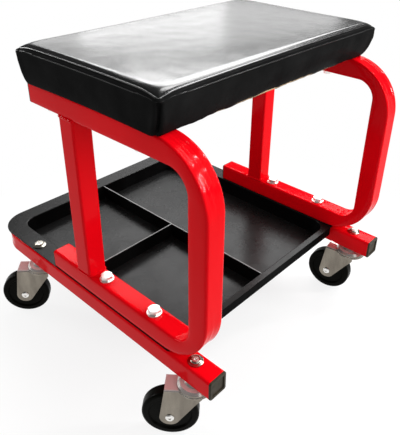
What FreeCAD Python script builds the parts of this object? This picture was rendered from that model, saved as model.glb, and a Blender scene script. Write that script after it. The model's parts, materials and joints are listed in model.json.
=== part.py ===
import FreeCAD, Part
import math
import os
import types

import Sketcher

# A rolling creeper seat: padded seat on two bent square-tube side frames, a U-shaped base frame
# that carries a three-compartment tray, and four swivel casters.
# The floor is at z = 0. The origin lies midway between the four swivel axes. +X runs along the
# seat, +Y to the closed back of the base frame and +Z up. All sizes are in millimetres.

Vector = FreeCAD.Vector
UP = Vector(0, 0, 1)
HALF_TURN = 180
FULL_TURN = 360
HEX_SIDES = 6
DIGITS = 12
NEAR = 1e-3

# name, value and meaning of every driving dimension
DRIVING = [
    ("tube_width", 25.0, "outer side of the square tube"),
    ("tube_wall", 1.5, "wall of the square tube"),
    ("tube_corner", 3.0, "outer corner radius of the square tube"),
    ("sheet", 1.2, "thickness of the tray's sheet"),
    ("overrun", 2.0, "how far a cutting shape runs past a face"),

    ("base_half_width", 180.0, "middle of the base frame to its outer face"),
    ("base_front_overhang", 30.0, "front swivel axis to the open tube end"),
    ("base_back_overhang", 96.0, "back swivel axis to the outer face at the back"),
    ("base_bend_outer", 50.0, "outer radius of the base frame's bends"),
    ("base_bend_inner", 24.0, "inner radius of the base frame's bends"),
    ("base_plug_head", 2.6, "thickness of the base plug outside the tube"),
    ("base_plug_recess", 1.2, "depth of the recess in the base plug's face"),
    ("base_plug_border", 3.6, "width of the border round that recess"),

    ("side_step", 1.0, "the side frames' outer faces inside the base frame's"),
    ("side_front_step", 6.0, "the side frames' front faces inside the base frame's open ends"),
    ("side_back_gap", 57.0, "back swivel axis to the side frames' open tube ends"),
    ("side_height", 252.3, "outer height of a side frame"),
    ("side_bend_outer", 66.0, "outer radius of the side frame's bends"),
    ("side_bend_inner", 23.0, "inner radius of the side frame's bends"),
    ("upright_back_gap", 64.4, "side frame's open ends to the middle of its upright"),
    ("rail_plug_head", 2.0, "thickness of a rail plug outside the tube"),

    ("plug_depth", 12.0, "length of a plug inside its tube"),
    ("plug_gap", 0.1, "clearance between plug and tube wall"),
    ("plug_wall", 1.8, "wall of the hollow part of a plug"),
    ("plug_edge", 0.8, "chamfer round a plug's head"),

    ("caster_reach", 150.0, "middle to a swivel axis along Y"),
    ("wheel_radius", 32.5, "outer radius of a wheel"),
    ("wheel_half_width", 8.25, "half of the wheel's width"),
    ("wheel_edge", 3.6, "rounding at the edge of the tread"),
    ("wheel_band_radius", 25.0, "inner radius of the raised band on a wheel's side"),
    ("wheel_band_slope", 1.4, "width of the slope inside that band"),
    ("wheel_web_half_width", 6.2, "half of the wheel's thickness inside the band"),
    ("hub_radius", 10.0, "outer radius of the wheel's hub"),
    ("hub_half_width", 9.7, "half of the hub's length"),
    ("bush_radius", 4.6, "outer radius of the spanner bush"),
    ("running_gap", 0.06, "radial clearance of a turning fit"),
    ("axle_radius", 3.0, "radius of the axle rivet"),
    ("axle_head_radius", 4.9, "radius of the axle rivet's heads"),
    ("axle_head_height", 1.8, "height of the axle rivet's heads"),
    ("axle_head_edge", 1.0, "chamfer of the axle rivet's heads"),
    ("axle_dimple_radius", 2.0, "radius of the dimple in a rivet head"),
    ("axle_dimple_depth", 0.9, "depth of the dimple in a rivet head"),

    ("trail", 28.0, "swivel axis to the axle"),
    ("fork_rise", 42.5, "axle to the top face of the fork"),
    ("fork_half_width", 12.1, "half of the fork's outer width"),
    ("fork_sheet", 2.0, "thickness of the fork's sheet"),
    ("fork_shoulder", 2.4, "outer bend radius between crown and legs"),
    ("fork_end_radius", 11.3, "radius of the leg's lower end"),
    ("fork_front", 8.0, "swivel axis to the leading edge of a leg"),
    ("fork_front_drop", 11.0, "height of the leg's upright leading edge"),
    ("fork_back", 33.5, "swivel axis to the trailing end of the crown"),
    ("fork_foot_back", 41.3, "swivel axis to the leg's trailing lower corner"),
    ("fork_foot_front", 21.9, "swivel axis to the leg's leading lower corner"),
    ("crown_radius", 20.6, "radius of the round part of the fork's crown"),
    ("raceway_height", 9.0, "fork crown to the underside of the base frame"),
    ("raceway_radius", 20.2, "outer radius of the raceway cap"),
    ("raceway_rim", 1.9, "thickness of the raceway cap's rim"),
    ("raceway_sheet", 1.7, "thickness of the raceway cap over the balls"),
    ("raceway_gap", 1.0, "gap between the raceway cap's rim and the fork"),
    ("raceway_hub", 10.0, "radius of the raceway cap's raised hub"),
    ("raceway_slope", 2.6, "width of the slopes of the raceway cap"),
    ("ball_radius", 2.4, "radius of a bearing ball"),
    ("ball_circle", 14.0, "radius of the circle of balls"),
    ("ball_groove", 0.8, "depth of the groove that the balls run in"),
    ("ball_gap", 0.1, "clearance over the balls"),
    ("stem_radius", 4.0, "radius of the threaded stem and kingpin"),
    ("stem_head_radius", 8.0, "radius of the kingpin's riveted head"),
    ("stem_head_height", 2.6, "height of the kingpin's riveted head"),
    ("stem_head_edge", 1.2, "chamfer of the kingpin's riveted head"),
    ("stem_head_gap", 0.3, "gap between that head and the fork"),
    ("stem_tip", 0.6, "chamfer at the stem's upper end"),
    ("stem_recess", 0.3, "how far the stem ends below the nut's top"),
    ("stem_dimple_radius", 1.9, "radius of the dimple in the stem's upper end"),
    ("stem_dimple_depth", 1.6, "depth of the dimple in the stem's upper end"),
    ("nut_flange_radius", 8.6, "radius of the caster nut's flange"),
    ("nut_flange_height", 1.1, "height of the caster nut's flange at its edge"),
    ("nut_height", 3.9, "height of the caster nut"),
    ("nut_dome_radius", 5.8, "radius of the caster nut's body"),
    ("nut_top_radius", 4.9, "radius of the caster nut's top face"),
    ("nut_top_drop", 0.9, "height of the slope below the caster nut's top"),

    ("bolt_radius", 4.0, "radius of the frame bolts"),
    ("bolt_gap", 0.3, "clearance round a bolt in its hole"),
    ("bolt_back_gap", 30.0, "middle of the upright to the back bolt of a side"),
    ("bolt_front_gap", 22.6, "end of the lower bend to the front bolt of a side"),
    ("bolt_head_radius", 7.5, "corner radius of the hexagon head"),
    ("bolt_head_height", 5.3, "height of the hexagon head"),
    ("bolt_nut_height", 6.5, "height of the nuts under the base frame"),
    ("bolt_end", 2.2, "how far a bolt stands out of its nut"),
    ("washer_radius", 8.6, "outer radius of the frame washers"),
    ("washer_height", 1.4, "thickness of the frame washers"),

    ("rim_side_step", 1.4, "the rim's side edges inside the base frame's outer faces"),
    ("rim_back_step", 2.0, "the rim's back edge inside the base frame's outer face"),
    ("tray_front_margin", 34.6, "front bolts to the front edge of the tray's rim"),
    ("tray_corner", 38.0, "radius of the rim's back corners"),
    ("tray_front_corner", 3.0, "radius of the rim's front corners"),
    ("recess_side_gap", 0.8, "base frame's arms to the recess's side walls"),
    ("recess_back_gap", 0.4, "base frame's back to the recess's back wall"),
    ("flange_width", 9.0, "tray's front edge to the front wall of the recess"),
    ("recess_corner", 20.0, "corner radius of the recess"),
    ("recess_depth", 22.0, "depth of the recess below the rim's top face"),
    ("recess_edge", 1.5, "rounding where the rim turns down into the recess"),
    ("lip_drop", 12.0, "height of the turned-down front lip"),
    ("lip_gap", 3.0, "gap between the lip's ends and the base tubes"),
    ("panel_margin", 8.0, "wall to the raised panel of a compartment's floor"),
    ("panel_rise", 0.9, "height of the raised floor panels"),
    ("panel_corner", 11.0, "corner radius of the raised floor panels"),
    ("divider_sheet", 1.6, "thickness of the dividers"),
    ("divider_offset", 3.0, "middle to the long divider, towards -X"),
    ("divider_cross_gap", 162.4, "recess's back wall to the middle of the cross divider"),
    ("divider_drop", 0.7, "top of the dividers below the rim's top face"),
    ("divider_gap", 0.15, "clearance between a divider's end and the wall"),
    ("divider_notch", 4.0, "cut at a divider's lower corners"),

    ("seat_end_reach", 20.0, "middle of the rails to the ends of the cushion"),
    ("seat_front_gap", 48.5, "side frames' front faces to the front of the cushion"),
    ("seat_back_overhang", 5.5, "back of the cushion behind the side frames' open ends"),
    ("cushion_height", 37.0, "rail to the seam round the top panel"),
    ("cushion_crown", 6.0, "rise of the top panel's middle over the seam"),
    ("cushion_draw", 7.0, "how far the sides draw in towards the rails"),
    ("cushion_pull", 2.4, "how far a side pulls in between its corners"),
    ("cushion_corner", 15.0, "corner radius of the cushion in plan"),
    ("crown_flat", 38.0, "half of the depth of the top panel's flat middle"),
    ("hem", 1.0, "thickness of the cover's hem under the board"),
    ("hem_width", 30.0, "width of the cover's hem"),
    ("board_margin", 4.0, "cushion's lower edge to the board"),
    ("board_thickness", 10.0, "thickness of the seat board"),
    ("board_corner", 12.0, "corner radius of the seat board"),

    ("seat_bolt_radius", 3.0, "radius of the seat bolts"),
    ("seat_bolt_front_gap", 32.5, "end of the upper bend to the front seat bolts"),
    ("seat_bolt_back_gap", 22.5, "side frames' open ends to the back seat bolts"),
    ("seat_bolt_head_radius", 5.8, "corner radius of the seat bolt's hexagon head"),
    ("seat_bolt_head_height", 4.0, "height of the seat bolt's head"),
    ("seat_washer_radius", 8.0, "outer radius of the seat washers"),
    ("seat_washer_height", 1.2, "thickness of the seat washers"),
    ("tee_flange_radius", 8.5, "radius of a tee nut's flange"),
    ("tee_flange_height", 1.2, "height of a tee nut's flange"),
    ("tee_barrel_radius", 4.2, "outer radius of a tee nut's barrel"),
    ("tee_barrel_depth", 8.0, "length of a tee nut's barrel"),

    ("staple_wire", 0.7, "thickness of a staple's wire"),
    ("staple_length", 10.0, "length of a staple's crown"),
    ("staple_leg", 6.0, "length of a staple's legs"),
    ("staple_inset", 10.0, "hem's inner edge to the staples"),
]

# The angle of each caster's trail, in degrees from +X, as the casters happen to stand.
CASTER_DEGREES = {"front_left": 129.7, "front_right": 98.0, "back_left": 136.3, "back_right": 118.0}
# where each caster stands: the signs of its X and Y
CASTER_SIDES = {"front_left": (-1, -1), "front_right": (1, -1), "back_left": (-1, 1), "back_right": (1, 1)}
SIDE_SIGNS = {"left": -1, "right": 1}
BALL_COUNT = 14
TRAY_DRAFT = 7  # degrees, slope of the recess walls
STAPLE_SHARES = (-0.72, -0.24, 0.24, 0.72)  # along the long sides of the hem
FOOT_ROUND_SHARE = 0.97  # of the leg's end radius, so that two rounds meet with a short flat
WAIST_SHARE = 0.25  # of the fork's rise, where the leading edge turns in

# The cushion's outline at each level: height as a share of cushion_height, and how far it is drawn
# in as a share of cushion_draw.
CUSHION_SIDE_SHARES = ((0, 1), (0.1, 0.66), (0.32, 0.28), (0.62, 0.02), (0.86, 0.02), (1, 0.24))
# Over the seam: height as a share of cushion_crown, inset as a share of the way to the flat middle.
CUSHION_TOP_SHARES = ((0.2, 0.055), (0.52, 0.22), (0.84, 0.56), (1, 1))

doc = FreeCAD.newDocument("creeper_seat")
sheet = doc.addObject("Spreadsheet::Sheet", "sizes")
parts = []


class Size:
    """A length that knows its value and the expression that ties it to the sheet."""

    def __init__(self, value, text):
        self.value = value
        self.text = text

    def __add__(self, other):
        other = as_size(other)
        return Size(self.value + other.value, f"({self.text} + {other.text})")

    def __sub__(self, other):
        other = as_size(other)
        return Size(self.value - other.value, f"({self.text} - {other.text})")

    def __mul__(self, share):
        return Size(self.value * share, f"({self.text} * {share:.{DIGITS}f})")

    def __truediv__(self, count):
        return Size(self.value / count, f"({self.text} / {count})")

    def __neg__(self):
        return Size(-self.value, f"(-1 * {self.text})")

    def __radd__(self, other):
        return as_size(other) + self

    def __rsub__(self, other):
        return as_size(other) - self

    def __rmul__(self, share):
        return self * share


def as_size(item):
    return item if isinstance(item, Size) else Size(item, repr(item))


def fill_sheet():
    """Writes the driving dimensions into the sheet and gives them back by name."""
    for row, (name, value, meaning) in enumerate(DRIVING, start=1):
        sheet.set(f"A{row}", name)
        sheet.set(f"B{row}", str(value))
        sheet.set(f"C{row}", meaning)
        sheet.setAlias(f"B{row}", name)
    doc.recompute()
    return types.SimpleNamespace(**{
        name: Size(float(sheet.get(name)), f"{sheet.Name}.{name}") for name, value, meaning in DRIVING})


def bind(item, path, size):
    """Ties one property or constraint to the sheet."""
    size = as_size(size)
    if size.value or size.text.startswith("("):
        item.setExpression(path, size.text)


def new_body(name):
    body = doc.addObject("PartDesign::Body", name)
    body.Label = name
    return body


def new_sketch(body, plane, shift=(0, 0, 0)):
    """Puts a sketch on one of the body's origin planes, shifted in that plane's own axes."""
    sketch = body.newObject("Sketcher::SketchObject", body.Label + "_sketch")
    support = [item for item in body.Origin.OriginFeatures if item.Role == plane + "_Plane"][0]
    sketch.AttachmentSupport = (support, [""])
    sketch.MapMode = "FlatFace"
    for axis, length in zip("xyz", shift):
        bind(sketch, "AttachmentOffset.Base." + axis, length)
    return sketch


def pin_point(sketch, geometry, end, across, up):
    """Dimensions one point of a sketch from the sketch's origin."""
    for kind, length in (("DistanceX", as_size(across)), ("DistanceY", as_size(up))):
        number = sketch.addConstraint(Sketcher.Constraint(kind, -1, 1, geometry, end, float(length.value)))
        bind(sketch, f"Constraints[{number}]", length)


def draw_polygon(sketch, points):
    first = sketch.GeometryCount
    count = len(points)
    flat = [Vector(as_size(across).value, as_size(up).value, 0) for across, up in points]
    for index in range(count):
        sketch.addGeometry(Part.LineSegment(flat[index], flat[(index + 1) % count]), False)
    for index in range(count):
        following = first + (index + 1) % count
        sketch.addConstraint(Sketcher.Constraint("Coincident", first + index, 2, following, 1))
    for index, (across, up) in enumerate(points):
        pin_point(sketch, first + index, 1, across, up)


def draw_box(sketch, left, right, low, high):
    draw_polygon(sketch, [(left, low), (right, low), (right, high), (left, high)])


def draw_circle(sketch, across, up, radius):
    centre = Vector(as_size(across).value, as_size(up).value, 0)
    geometry = sketch.addGeometry(Part.Circle(centre, UP, radius.value), False)
    pin_point(sketch, geometry, 3, across, up)
    number = sketch.addConstraint(Sketcher.Constraint("Radius", geometry, radius.value))
    bind(sketch, f"Constraints[{number}]", radius)


def draw_hexagon(sketch, corner_radius):
    corners = []
    for index in range(HEX_SIDES):
        angle = math.radians(FULL_TURN * index / HEX_SIDES)
        corners.append((corner_radius * math.cos(angle), corner_radius * math.sin(angle)))
    draw_polygon(sketch, corners)


def extrude(body, kind, sketch, length, symmetric=False, reverse=False, taper=0):
    feature = body.newObject("PartDesign::" + kind, f"{body.Label}_{kind.lower()}")
    feature.Profile = sketch
    bind(feature, "Length", length)
    feature.Reversed = reverse
    if symmetric:
        feature.SideType = "Symmetric"
    if taper:
        feature.TaperAngle = taper
    doc.recompute()
    return feature


def pad(body, sketch, length, **options):
    return extrude(body, "Pad", sketch, length, **options)


def pocket(body, sketch, length, **options):
    """Cuts a sketch out of the body, and stops if nothing was cut."""
    before = body.Shape.Volume
    feature = extrude(body, "Pocket", sketch, length, **options)
    if feature.Shape.Volume > before - NEAR:
        raise RuntimeError(f"{feature.Name} cuts nothing")
    return feature


def revolve(body, kind, sketch, axis="V_Axis"):
    feature = body.newObject("PartDesign::" + kind, f"{body.Label}_{kind.lower()}")
    feature.Profile = sketch
    feature.ReferenceAxis = (sketch, [axis])
    feature.Angle = FULL_TURN
    doc.recompute()
    return feature


def turned(name, plane, points, shift=(0, 0, 0)):
    """A turned piece: the polygon spun about its sketch's upright axis."""
    body = new_body(name)
    sketch = new_sketch(body, plane, shift)
    draw_polygon(sketch, points)
    revolve(body, "Revolution", sketch)
    return body


def edge_names(feature, test):
    return [f"Edge{number}" for number, edge in enumerate(feature.Shape.Edges, start=1) if test(edge)]


def dress(body, kind, feature, names, size):
    """Adds a fillet or a chamfer to the named edges."""
    if not names:
        raise RuntimeError(f"no edges for a {kind} on {body.Label}")
    edit = body.newObject("PartDesign::" + kind, f"{body.Label}_{kind.lower()}")
    edit.Base = (feature, names)
    bind(edit, "Radius" if kind == "Fillet" else "Size", size)
    doc.recompute()
    return edit


def runs_along(edge, axis):
    """True for a straight edge parallel to an axis given as a vector."""
    if edge.Curve.TypeId != "Part::GeomLine":
        return False
    return abs(abs(edge.tangentAt(edge.FirstParameter).dot(axis)) - 1) < NEAR


def is_circle(edge, radius):
    """True for a round edge of this radius."""
    return edge.Curve.TypeId == "Part::GeomCircle" and abs(edge.Curve.Radius - radius) < NEAR


def lies_at(edge, axis, *values):
    """True if the whole edge has one of these values along the axis letter."""
    box = edge.BoundBox
    low = getattr(box, axis.upper() + "Min")
    high = getattr(box, axis.upper() + "Max")
    return any(abs(low - value) < NEAR and abs(high - value) < NEAR for value in values)


def place(item, x=0, y=0, z=0, turn=0, axis=UP):
    """Turns an object about an axis and moves it, with the move tied to the sheet."""
    values = [as_size(length) for length in (x, y, z)]
    spot = Vector(*[length.value for length in values])
    item.Placement = FreeCAD.Placement(spot, FreeCAD.Rotation(axis, turn))
    for letter, length in zip("xyz", values):
        bind(item, "Placement.Base." + letter, length)


def keep(item, name=None):
    """Adds an object to the list of nodes that are written out."""
    if name:
        item.Label = name
    parts.append(item)
    return item


def group(name, items):
    """One node that holds several equal pieces."""
    compound = doc.addObject("Part::Compound", name)
    compound.Links = items
    return keep(compound, name)


S = fill_sheet()

# levels and places that several pieces share
TUBE_HALF = S.tube_width / 2
CROWN_TOP = S.wheel_radius + S.fork_rise
BASE_BOTTOM = CROWN_TOP + S.raceway_height
BASE_TOP = BASE_BOTTOM + S.tube_width
TRAY_TOP = BASE_TOP + S.sheet
TRAY_FLOOR = TRAY_TOP - S.recess_depth
SIDE_BOTTOM = TRAY_TOP
SIDE_TOP = SIDE_BOTTOM + S.side_height
CASTER_X = S.base_half_width - TUBE_HALF
RAIL_X = S.base_half_width - S.side_step - TUBE_HALF
BASE_FRONT = S.caster_reach + S.base_front_overhang
BASE_BACK = S.caster_reach + S.base_back_overhang
SIDE_FRONT = BASE_FRONT - S.side_front_step
SIDE_BACK = S.caster_reach - S.side_back_gap
BEND_END = S.side_bend_outer - SIDE_FRONT
UPRIGHT_PLACE = SIDE_BACK - S.upright_back_gap
BOLT_PLACES = (UPRIGHT_PLACE - S.bolt_back_gap, BEND_END + S.bolt_front_gap)
RIM_HALF_WIDTH = S.base_half_width - S.rim_side_step
RIM_BACK = BASE_BACK - S.rim_back_step
RECESS_HALF_WIDTH = S.base_half_width - S.tube_width - S.recess_side_gap - S.sheet
RECESS_BACK = BASE_BACK - S.tube_width - S.recess_back_gap - S.sheet
TRAY_FRONT = S.tray_front_margin - BOLT_PLACES[1]
RECESS_FRONT = TRAY_FRONT - S.flange_width
DIVIDER_CROSS = RECESS_BACK - S.divider_cross_gap
SEAT_HALF_LENGTH = RAIL_X + S.seat_end_reach
SEAT_FRONT = S.seat_front_gap - SIDE_FRONT
SEAT_BACK = SIDE_BACK + S.seat_back_overhang
SEAT_PLACE = (SEAT_FRONT + SEAT_BACK) / 2
SEAT_HALF_DEPTH = (SEAT_BACK - SEAT_FRONT) / 2
BOARD_BOTTOM = SIDE_TOP + S.hem
BOARD_TOP = BOARD_BOTTOM + S.board_thickness
BOARD_HALF_LENGTH = SEAT_HALF_LENGTH - S.cushion_draw - S.board_margin
BOARD_HALF_DEPTH = SEAT_HALF_DEPTH - S.cushion_draw - S.board_margin
SEAT_BOLT_PLACES = (BEND_END + S.seat_bolt_front_gap, SIDE_BACK - S.seat_bolt_back_gap)
BOLT_HOLE = S.bolt_radius + S.bolt_gap
STEM_HOLE = S.stem_radius + S.bolt_gap
SEAT_BOLT_HOLE = S.seat_bolt_radius + S.bolt_gap


# bent tubes: the base frame's U and the side frames' C

def u_outline(inset, front):
    """The U in plan, drawn in by an inset all round, with sharp bends."""
    outer = S.base_half_width - inset
    inner = S.base_half_width - S.tube_width + inset
    back = BASE_BACK - inset
    inner_back = BASE_BACK - S.tube_width + inset
    return [
        (-outer, front), (-inner, front), (-inner, inner_back), (inner, inner_back),
        (inner, front), (outer, front), (outer, back), (-outer, back),
    ]


def c_outline(inset, back):
    """The C seen from the side, drawn in by an inset all round, with sharp bends."""
    front = -SIDE_FRONT + inset
    inner_front = -SIDE_FRONT + S.tube_width - inset
    low = SIDE_BOTTOM + inset
    inner_low = SIDE_BOTTOM + S.tube_width - inset
    high = SIDE_TOP - inset
    inner_high = SIDE_TOP - S.tube_width + inset
    return [
        (back, low), (back, inner_low), (inner_front, inner_low), (inner_front, inner_high),
        (back, inner_high), (back, high), (front, high), (front, low),
    ]


def bend_edges(feature, plane, corner):
    """The edges that stand square on a plane at one corner of an outline in it."""
    first, second = plane.lower()
    axis = Vector(1, 0, 0) if plane == "YZ" else UP
    across, up = corner

    def at_corner(edge):
        centre = edge.CenterOfMass
        away = abs(getattr(centre, first) - across.value) + abs(getattr(centre, second) - up.value)
        return runs_along(edge, axis) and away < NEAR

    return edge_names(feature, at_corner)


def bent_tube(name, plane, level, outline, ends, outer_bend, inner_bend):
    """A hollow square tube along an outline. Bends that add material are rounded first."""
    end, beyond = ends
    body = new_body(name)
    sketch = new_sketch(body, plane, (0, 0, level))
    skin = outline(as_size(0), end)
    draw_polygon(sketch, skin)
    pad(body, sketch, S.tube_width, symmetric=True)
    sketch = new_sketch(body, plane, (0, 0, level))
    hollow = outline(S.tube_wall, beyond)
    draw_polygon(sketch, hollow)
    shape = pocket(body, sketch, S.tube_width - S.tube_wall * 2, symmetric=True)
    bends = (
        (skin[2:4], inner_bend), (hollow[6:8], outer_bend - S.tube_wall),
        (skin[6:8], outer_bend), (hollow[2:4], inner_bend + S.tube_wall),
    )
    for corners, radius in bends:
        names = []
        for corner in corners:
            names += bend_edges(shape, plane, corner)
        shape = dress(body, "Fillet", shape, names, radius)
    return body, shape


def base_frame():
    body, shape = bent_tube(
        "base_frame", "XY", BASE_BOTTOM + TUBE_HALF, u_outline, (-BASE_FRONT, -BASE_FRONT - S.overrun),
        S.base_bend_outer, S.base_bend_inner)
    levels = (BASE_BOTTOM.value, BASE_TOP.value)
    long_edges = edge_names(
        shape, lambda edge: lies_at(edge, "z", *levels) and not lies_at(edge, "y", -BASE_FRONT.value))
    dress(body, "Fillet", shape, long_edges, S.tube_corner)

    holes = new_sketch(body, "XY", (0, 0, BASE_TOP + S.overrun))
    for sign in SIDE_SIGNS.values():
        for place_y in BOLT_PLACES:
            draw_circle(holes, RAIL_X * sign, place_y, BOLT_HOLE)
        for end in (-1, 1):
            draw_circle(holes, CASTER_X * sign, S.caster_reach * end, STEM_HOLE)
    pocket(body, holes, S.tube_width + S.overrun * 2)
    keep(body)


def side_tube(side, sign):
    body, shape = bent_tube(
        "side_tube_" + side, "YZ", 0, c_outline, (SIDE_BACK, SIDE_BACK + S.overrun),
        S.side_bend_outer, S.side_bend_inner)
    faces = (-TUBE_HALF.value, TUBE_HALF.value)
    long_edges = edge_names(
        shape, lambda edge: lies_at(edge, "x", *faces) and not lies_at(edge, "y", SIDE_BACK.value))
    dress(body, "Fillet", shape, long_edges, S.tube_corner)

    rail_run = S.tube_width + S.overrun * 2
    low_holes = new_sketch(body, "XY", (0, 0, SIDE_BOTTOM + S.tube_width + S.overrun))
    for place_y in BOLT_PLACES:
        draw_circle(low_holes, 0, place_y, BOLT_HOLE)
    pocket(body, low_holes, rail_run)
    high_holes = new_sketch(body, "XY", (0, 0, SIDE_TOP + S.overrun))
    for place_y in SEAT_BOLT_PLACES:
        draw_circle(high_holes, 0, place_y, SEAT_BOLT_HOLE)
    pocket(body, high_holes, rail_run)
    place(body, x=RAIL_X * sign)
    keep(body)


def upright(side, sign):
    body = new_body("upright_" + side)
    height = S.side_height - S.tube_width * 2
    sketch = new_sketch(body, "XY")
    draw_box(sketch, -TUBE_HALF, TUBE_HALF, -TUBE_HALF, TUBE_HALF)
    shape = pad(body, sketch, height)
    dress(body, "Fillet", shape, edge_names(shape, lambda edge: runs_along(edge, UP)), S.tube_corner)
    inner = TUBE_HALF - S.tube_wall
    cavity = new_sketch(body, "XY")
    draw_box(cavity, -inner, inner, -inner, inner)
    pocket(body, cavity, height, reverse=True)
    place(body, x=RAIL_X * sign, y=UPRIGHT_PLACE, z=SIDE_BOTTOM + S.tube_width)
    keep(body)


def end_plug(name, head, recess, x, y, z, turn):
    """A plastic plug: a head outside the tube and a hollow stub inside it, along +Y."""
    body = new_body(name)
    along_y = Vector(0, 1, 0)
    sketch = new_sketch(body, "XZ")
    draw_box(sketch, -TUBE_HALF, TUBE_HALF, -TUBE_HALF, TUBE_HALF)
    shape = pad(body, sketch, head, reverse=True)
    shape = dress(
        body, "Fillet", shape, edge_names(shape, lambda edge: runs_along(edge, along_y)), S.tube_corner)
    rim = edge_names(shape, lambda edge: lies_at(edge, "y", head.value))
    dress(body, "Chamfer", shape, rim, S.plug_edge)
    stub = TUBE_HALF - S.tube_wall - S.plug_gap
    inner = stub - S.plug_wall
    sketch = new_sketch(body, "XZ")
    draw_box(sketch, -stub, stub, -stub, stub)
    draw_box(sketch, -inner, inner, -inner, inner)
    pad(body, sketch, S.plug_depth)
    if recess:
        half = TUBE_HALF - S.base_plug_border
        sketch = new_sketch(body, "XZ", (0, 0, -head))
        draw_box(sketch, -half, half, -half, half)
        pocket(body, sketch, recess, reverse=True)
    place(body, x, y, z, turn)
    keep(body)


def plugs():
    for side, sign in SIDE_SIGNS.items():
        low = SIDE_BOTTOM + TUBE_HALF
        high = SIDE_TOP - TUBE_HALF
        end_plug("bottom_rail_plug_" + side, S.rail_plug_head, None, RAIL_X * sign, SIDE_BACK, low, 0)
        end_plug("top_rail_plug_" + side, S.rail_plug_head, None, RAIL_X * sign, SIDE_BACK, high, 0)
        end_plug(
            "base_plug_" + side, S.base_plug_head, S.base_plug_recess,
            CASTER_X * sign, -BASE_FRONT, BASE_BOTTOM + TUBE_HALF, HALF_TURN)


# tray: pressed from one sheet, with a wide rim that is clamped under the side frames

def wall_inset(depth):
    """How far the sloping wall of the recess has come in at a depth below the rim."""
    return depth * math.tan(math.radians(TRAY_DRAFT))


def recess_floor():
    """Left, right, front and back of the recess at its floor."""
    inset = wall_inset(S.recess_depth)
    side = RECESS_HALF_WIDTH - inset
    return -side, side, inset - RECESS_FRONT, RECESS_BACK - inset


def compartments():
    """Left, right, front and back of each compartment's floor."""
    left, right, front, back = recess_floor()
    half = S.divider_sheet / 2
    split_x = -S.divider_offset
    split_y = DIVIDER_CROSS
    return {
        "front_left": (left, split_x - half, front, split_y - half),
        "back_left": (left, split_x - half, split_y + half, back),
        "right": (split_x + half, right, front, back),
    }


def sloping(edge):
    """True for an edge between two of the sloping walls."""
    box = edge.BoundBox
    return box.ZLength > S.recess_depth.value / 2 and NEAR < box.XLength < box.ZLength


def tray():
    body = new_body("tray")
    sketch = new_sketch(body, "XY", (0, 0, BASE_TOP))
    draw_box(sketch, -RIM_HALF_WIDTH, RIM_HALF_WIDTH, -TRAY_FRONT, RIM_BACK)
    shape = pad(body, sketch, S.sheet)
    for reach, radius in ((RIM_BACK, S.tray_corner), (-TRAY_FRONT, S.tray_front_corner)):
        names = edge_names(shape, lambda edge: runs_along(edge, UP) and lies_at(edge, "y", reach.value))
        shape = dress(body, "Fillet", shape, names, radius)

    lip_half = S.base_half_width - S.tube_width - S.lip_gap
    sketch = new_sketch(body, "XY", (0, 0, BASE_TOP + S.sheet / 2))
    draw_box(sketch, -lip_half, lip_half, -TRAY_FRONT, S.sheet - TRAY_FRONT)
    pad(body, sketch, S.lip_drop + S.sheet / 2, reverse=True)

    sketch = new_sketch(body, "XY", (0, 0, TRAY_TOP))
    outer_side = RECESS_HALF_WIDTH + S.sheet
    draw_box(sketch, -outer_side, outer_side, -RECESS_FRONT - S.sheet, RECESS_BACK + S.sheet)
    pad(body, sketch, S.recess_depth + S.sheet, reverse=True, taper=-TRAY_DRAFT)
    sketch = new_sketch(body, "XY", (0, 0, TRAY_TOP))
    draw_box(sketch, -RECESS_HALF_WIDTH, RECESS_HALF_WIDTH, -RECESS_FRONT, RECESS_BACK)
    shape = pocket(body, sketch, S.recess_depth, taper=-TRAY_DRAFT)
    rim_level = BASE_TOP.value + NEAR
    corners = edge_names(shape, lambda edge: sloping(edge) and edge.BoundBox.ZMax > rim_level)
    shape = dress(body, "Fillet", shape, corners, S.recess_corner)
    underside = TRAY_FLOOR.value - NEAR
    corners = edge_names(shape, lambda edge: sloping(edge) and edge.BoundBox.ZMin < underside)
    shape = dress(body, "Fillet", shape, corners, S.recess_corner + S.sheet)
    inner_edge = RECESS_HALF_WIDTH.value + NEAR
    mouth = edge_names(
        shape, lambda edge: lies_at(edge, "z", TRAY_TOP.value)
        and abs(edge.CenterOfMass.x) < inner_edge
        and -RECESS_FRONT.value - NEAR < edge.CenterOfMass.y < RECESS_BACK.value + NEAR)
    dress(body, "Fillet", shape, mouth, S.recess_edge)

    for left, right, front, back in compartments().values():
        sketch = new_sketch(body, "XY", (0, 0, TRAY_FLOOR - S.sheet / 2))
        draw_box(
            sketch, left + S.panel_margin, right - S.panel_margin,
            front + S.panel_margin, back - S.panel_margin)
        shape = pad(body, sketch, S.panel_rise + S.sheet / 2)
        top = TRAY_FLOOR.value + S.panel_rise.value
        names = edge_names(shape, lambda edge: runs_along(edge, UP) and abs(edge.BoundBox.ZMax - top) < NEAR)
        fresh = [name for name in names if near_panel(shape, name, left, right, front, back)]
        dress(body, "Fillet", shape, fresh, S.panel_corner)

    holes = new_sketch(body, "XY", (0, 0, TRAY_TOP + S.overrun))
    for sign in SIDE_SIGNS.values():
        for place_y in BOLT_PLACES:
            draw_circle(holes, RAIL_X * sign, place_y, BOLT_HOLE)
        draw_circle(holes, CASTER_X * sign, S.caster_reach, STEM_HOLE)
    pocket(body, holes, S.sheet + S.overrun * 2)
    keep(body)


def near_panel(shape, name, left, right, front, back):
    """True if an edge belongs to the panel of one compartment."""
    centre = shape.Shape.getElement(name).CenterOfMass
    return left.value < centre.x < right.value and front.value < centre.y < back.value


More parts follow.
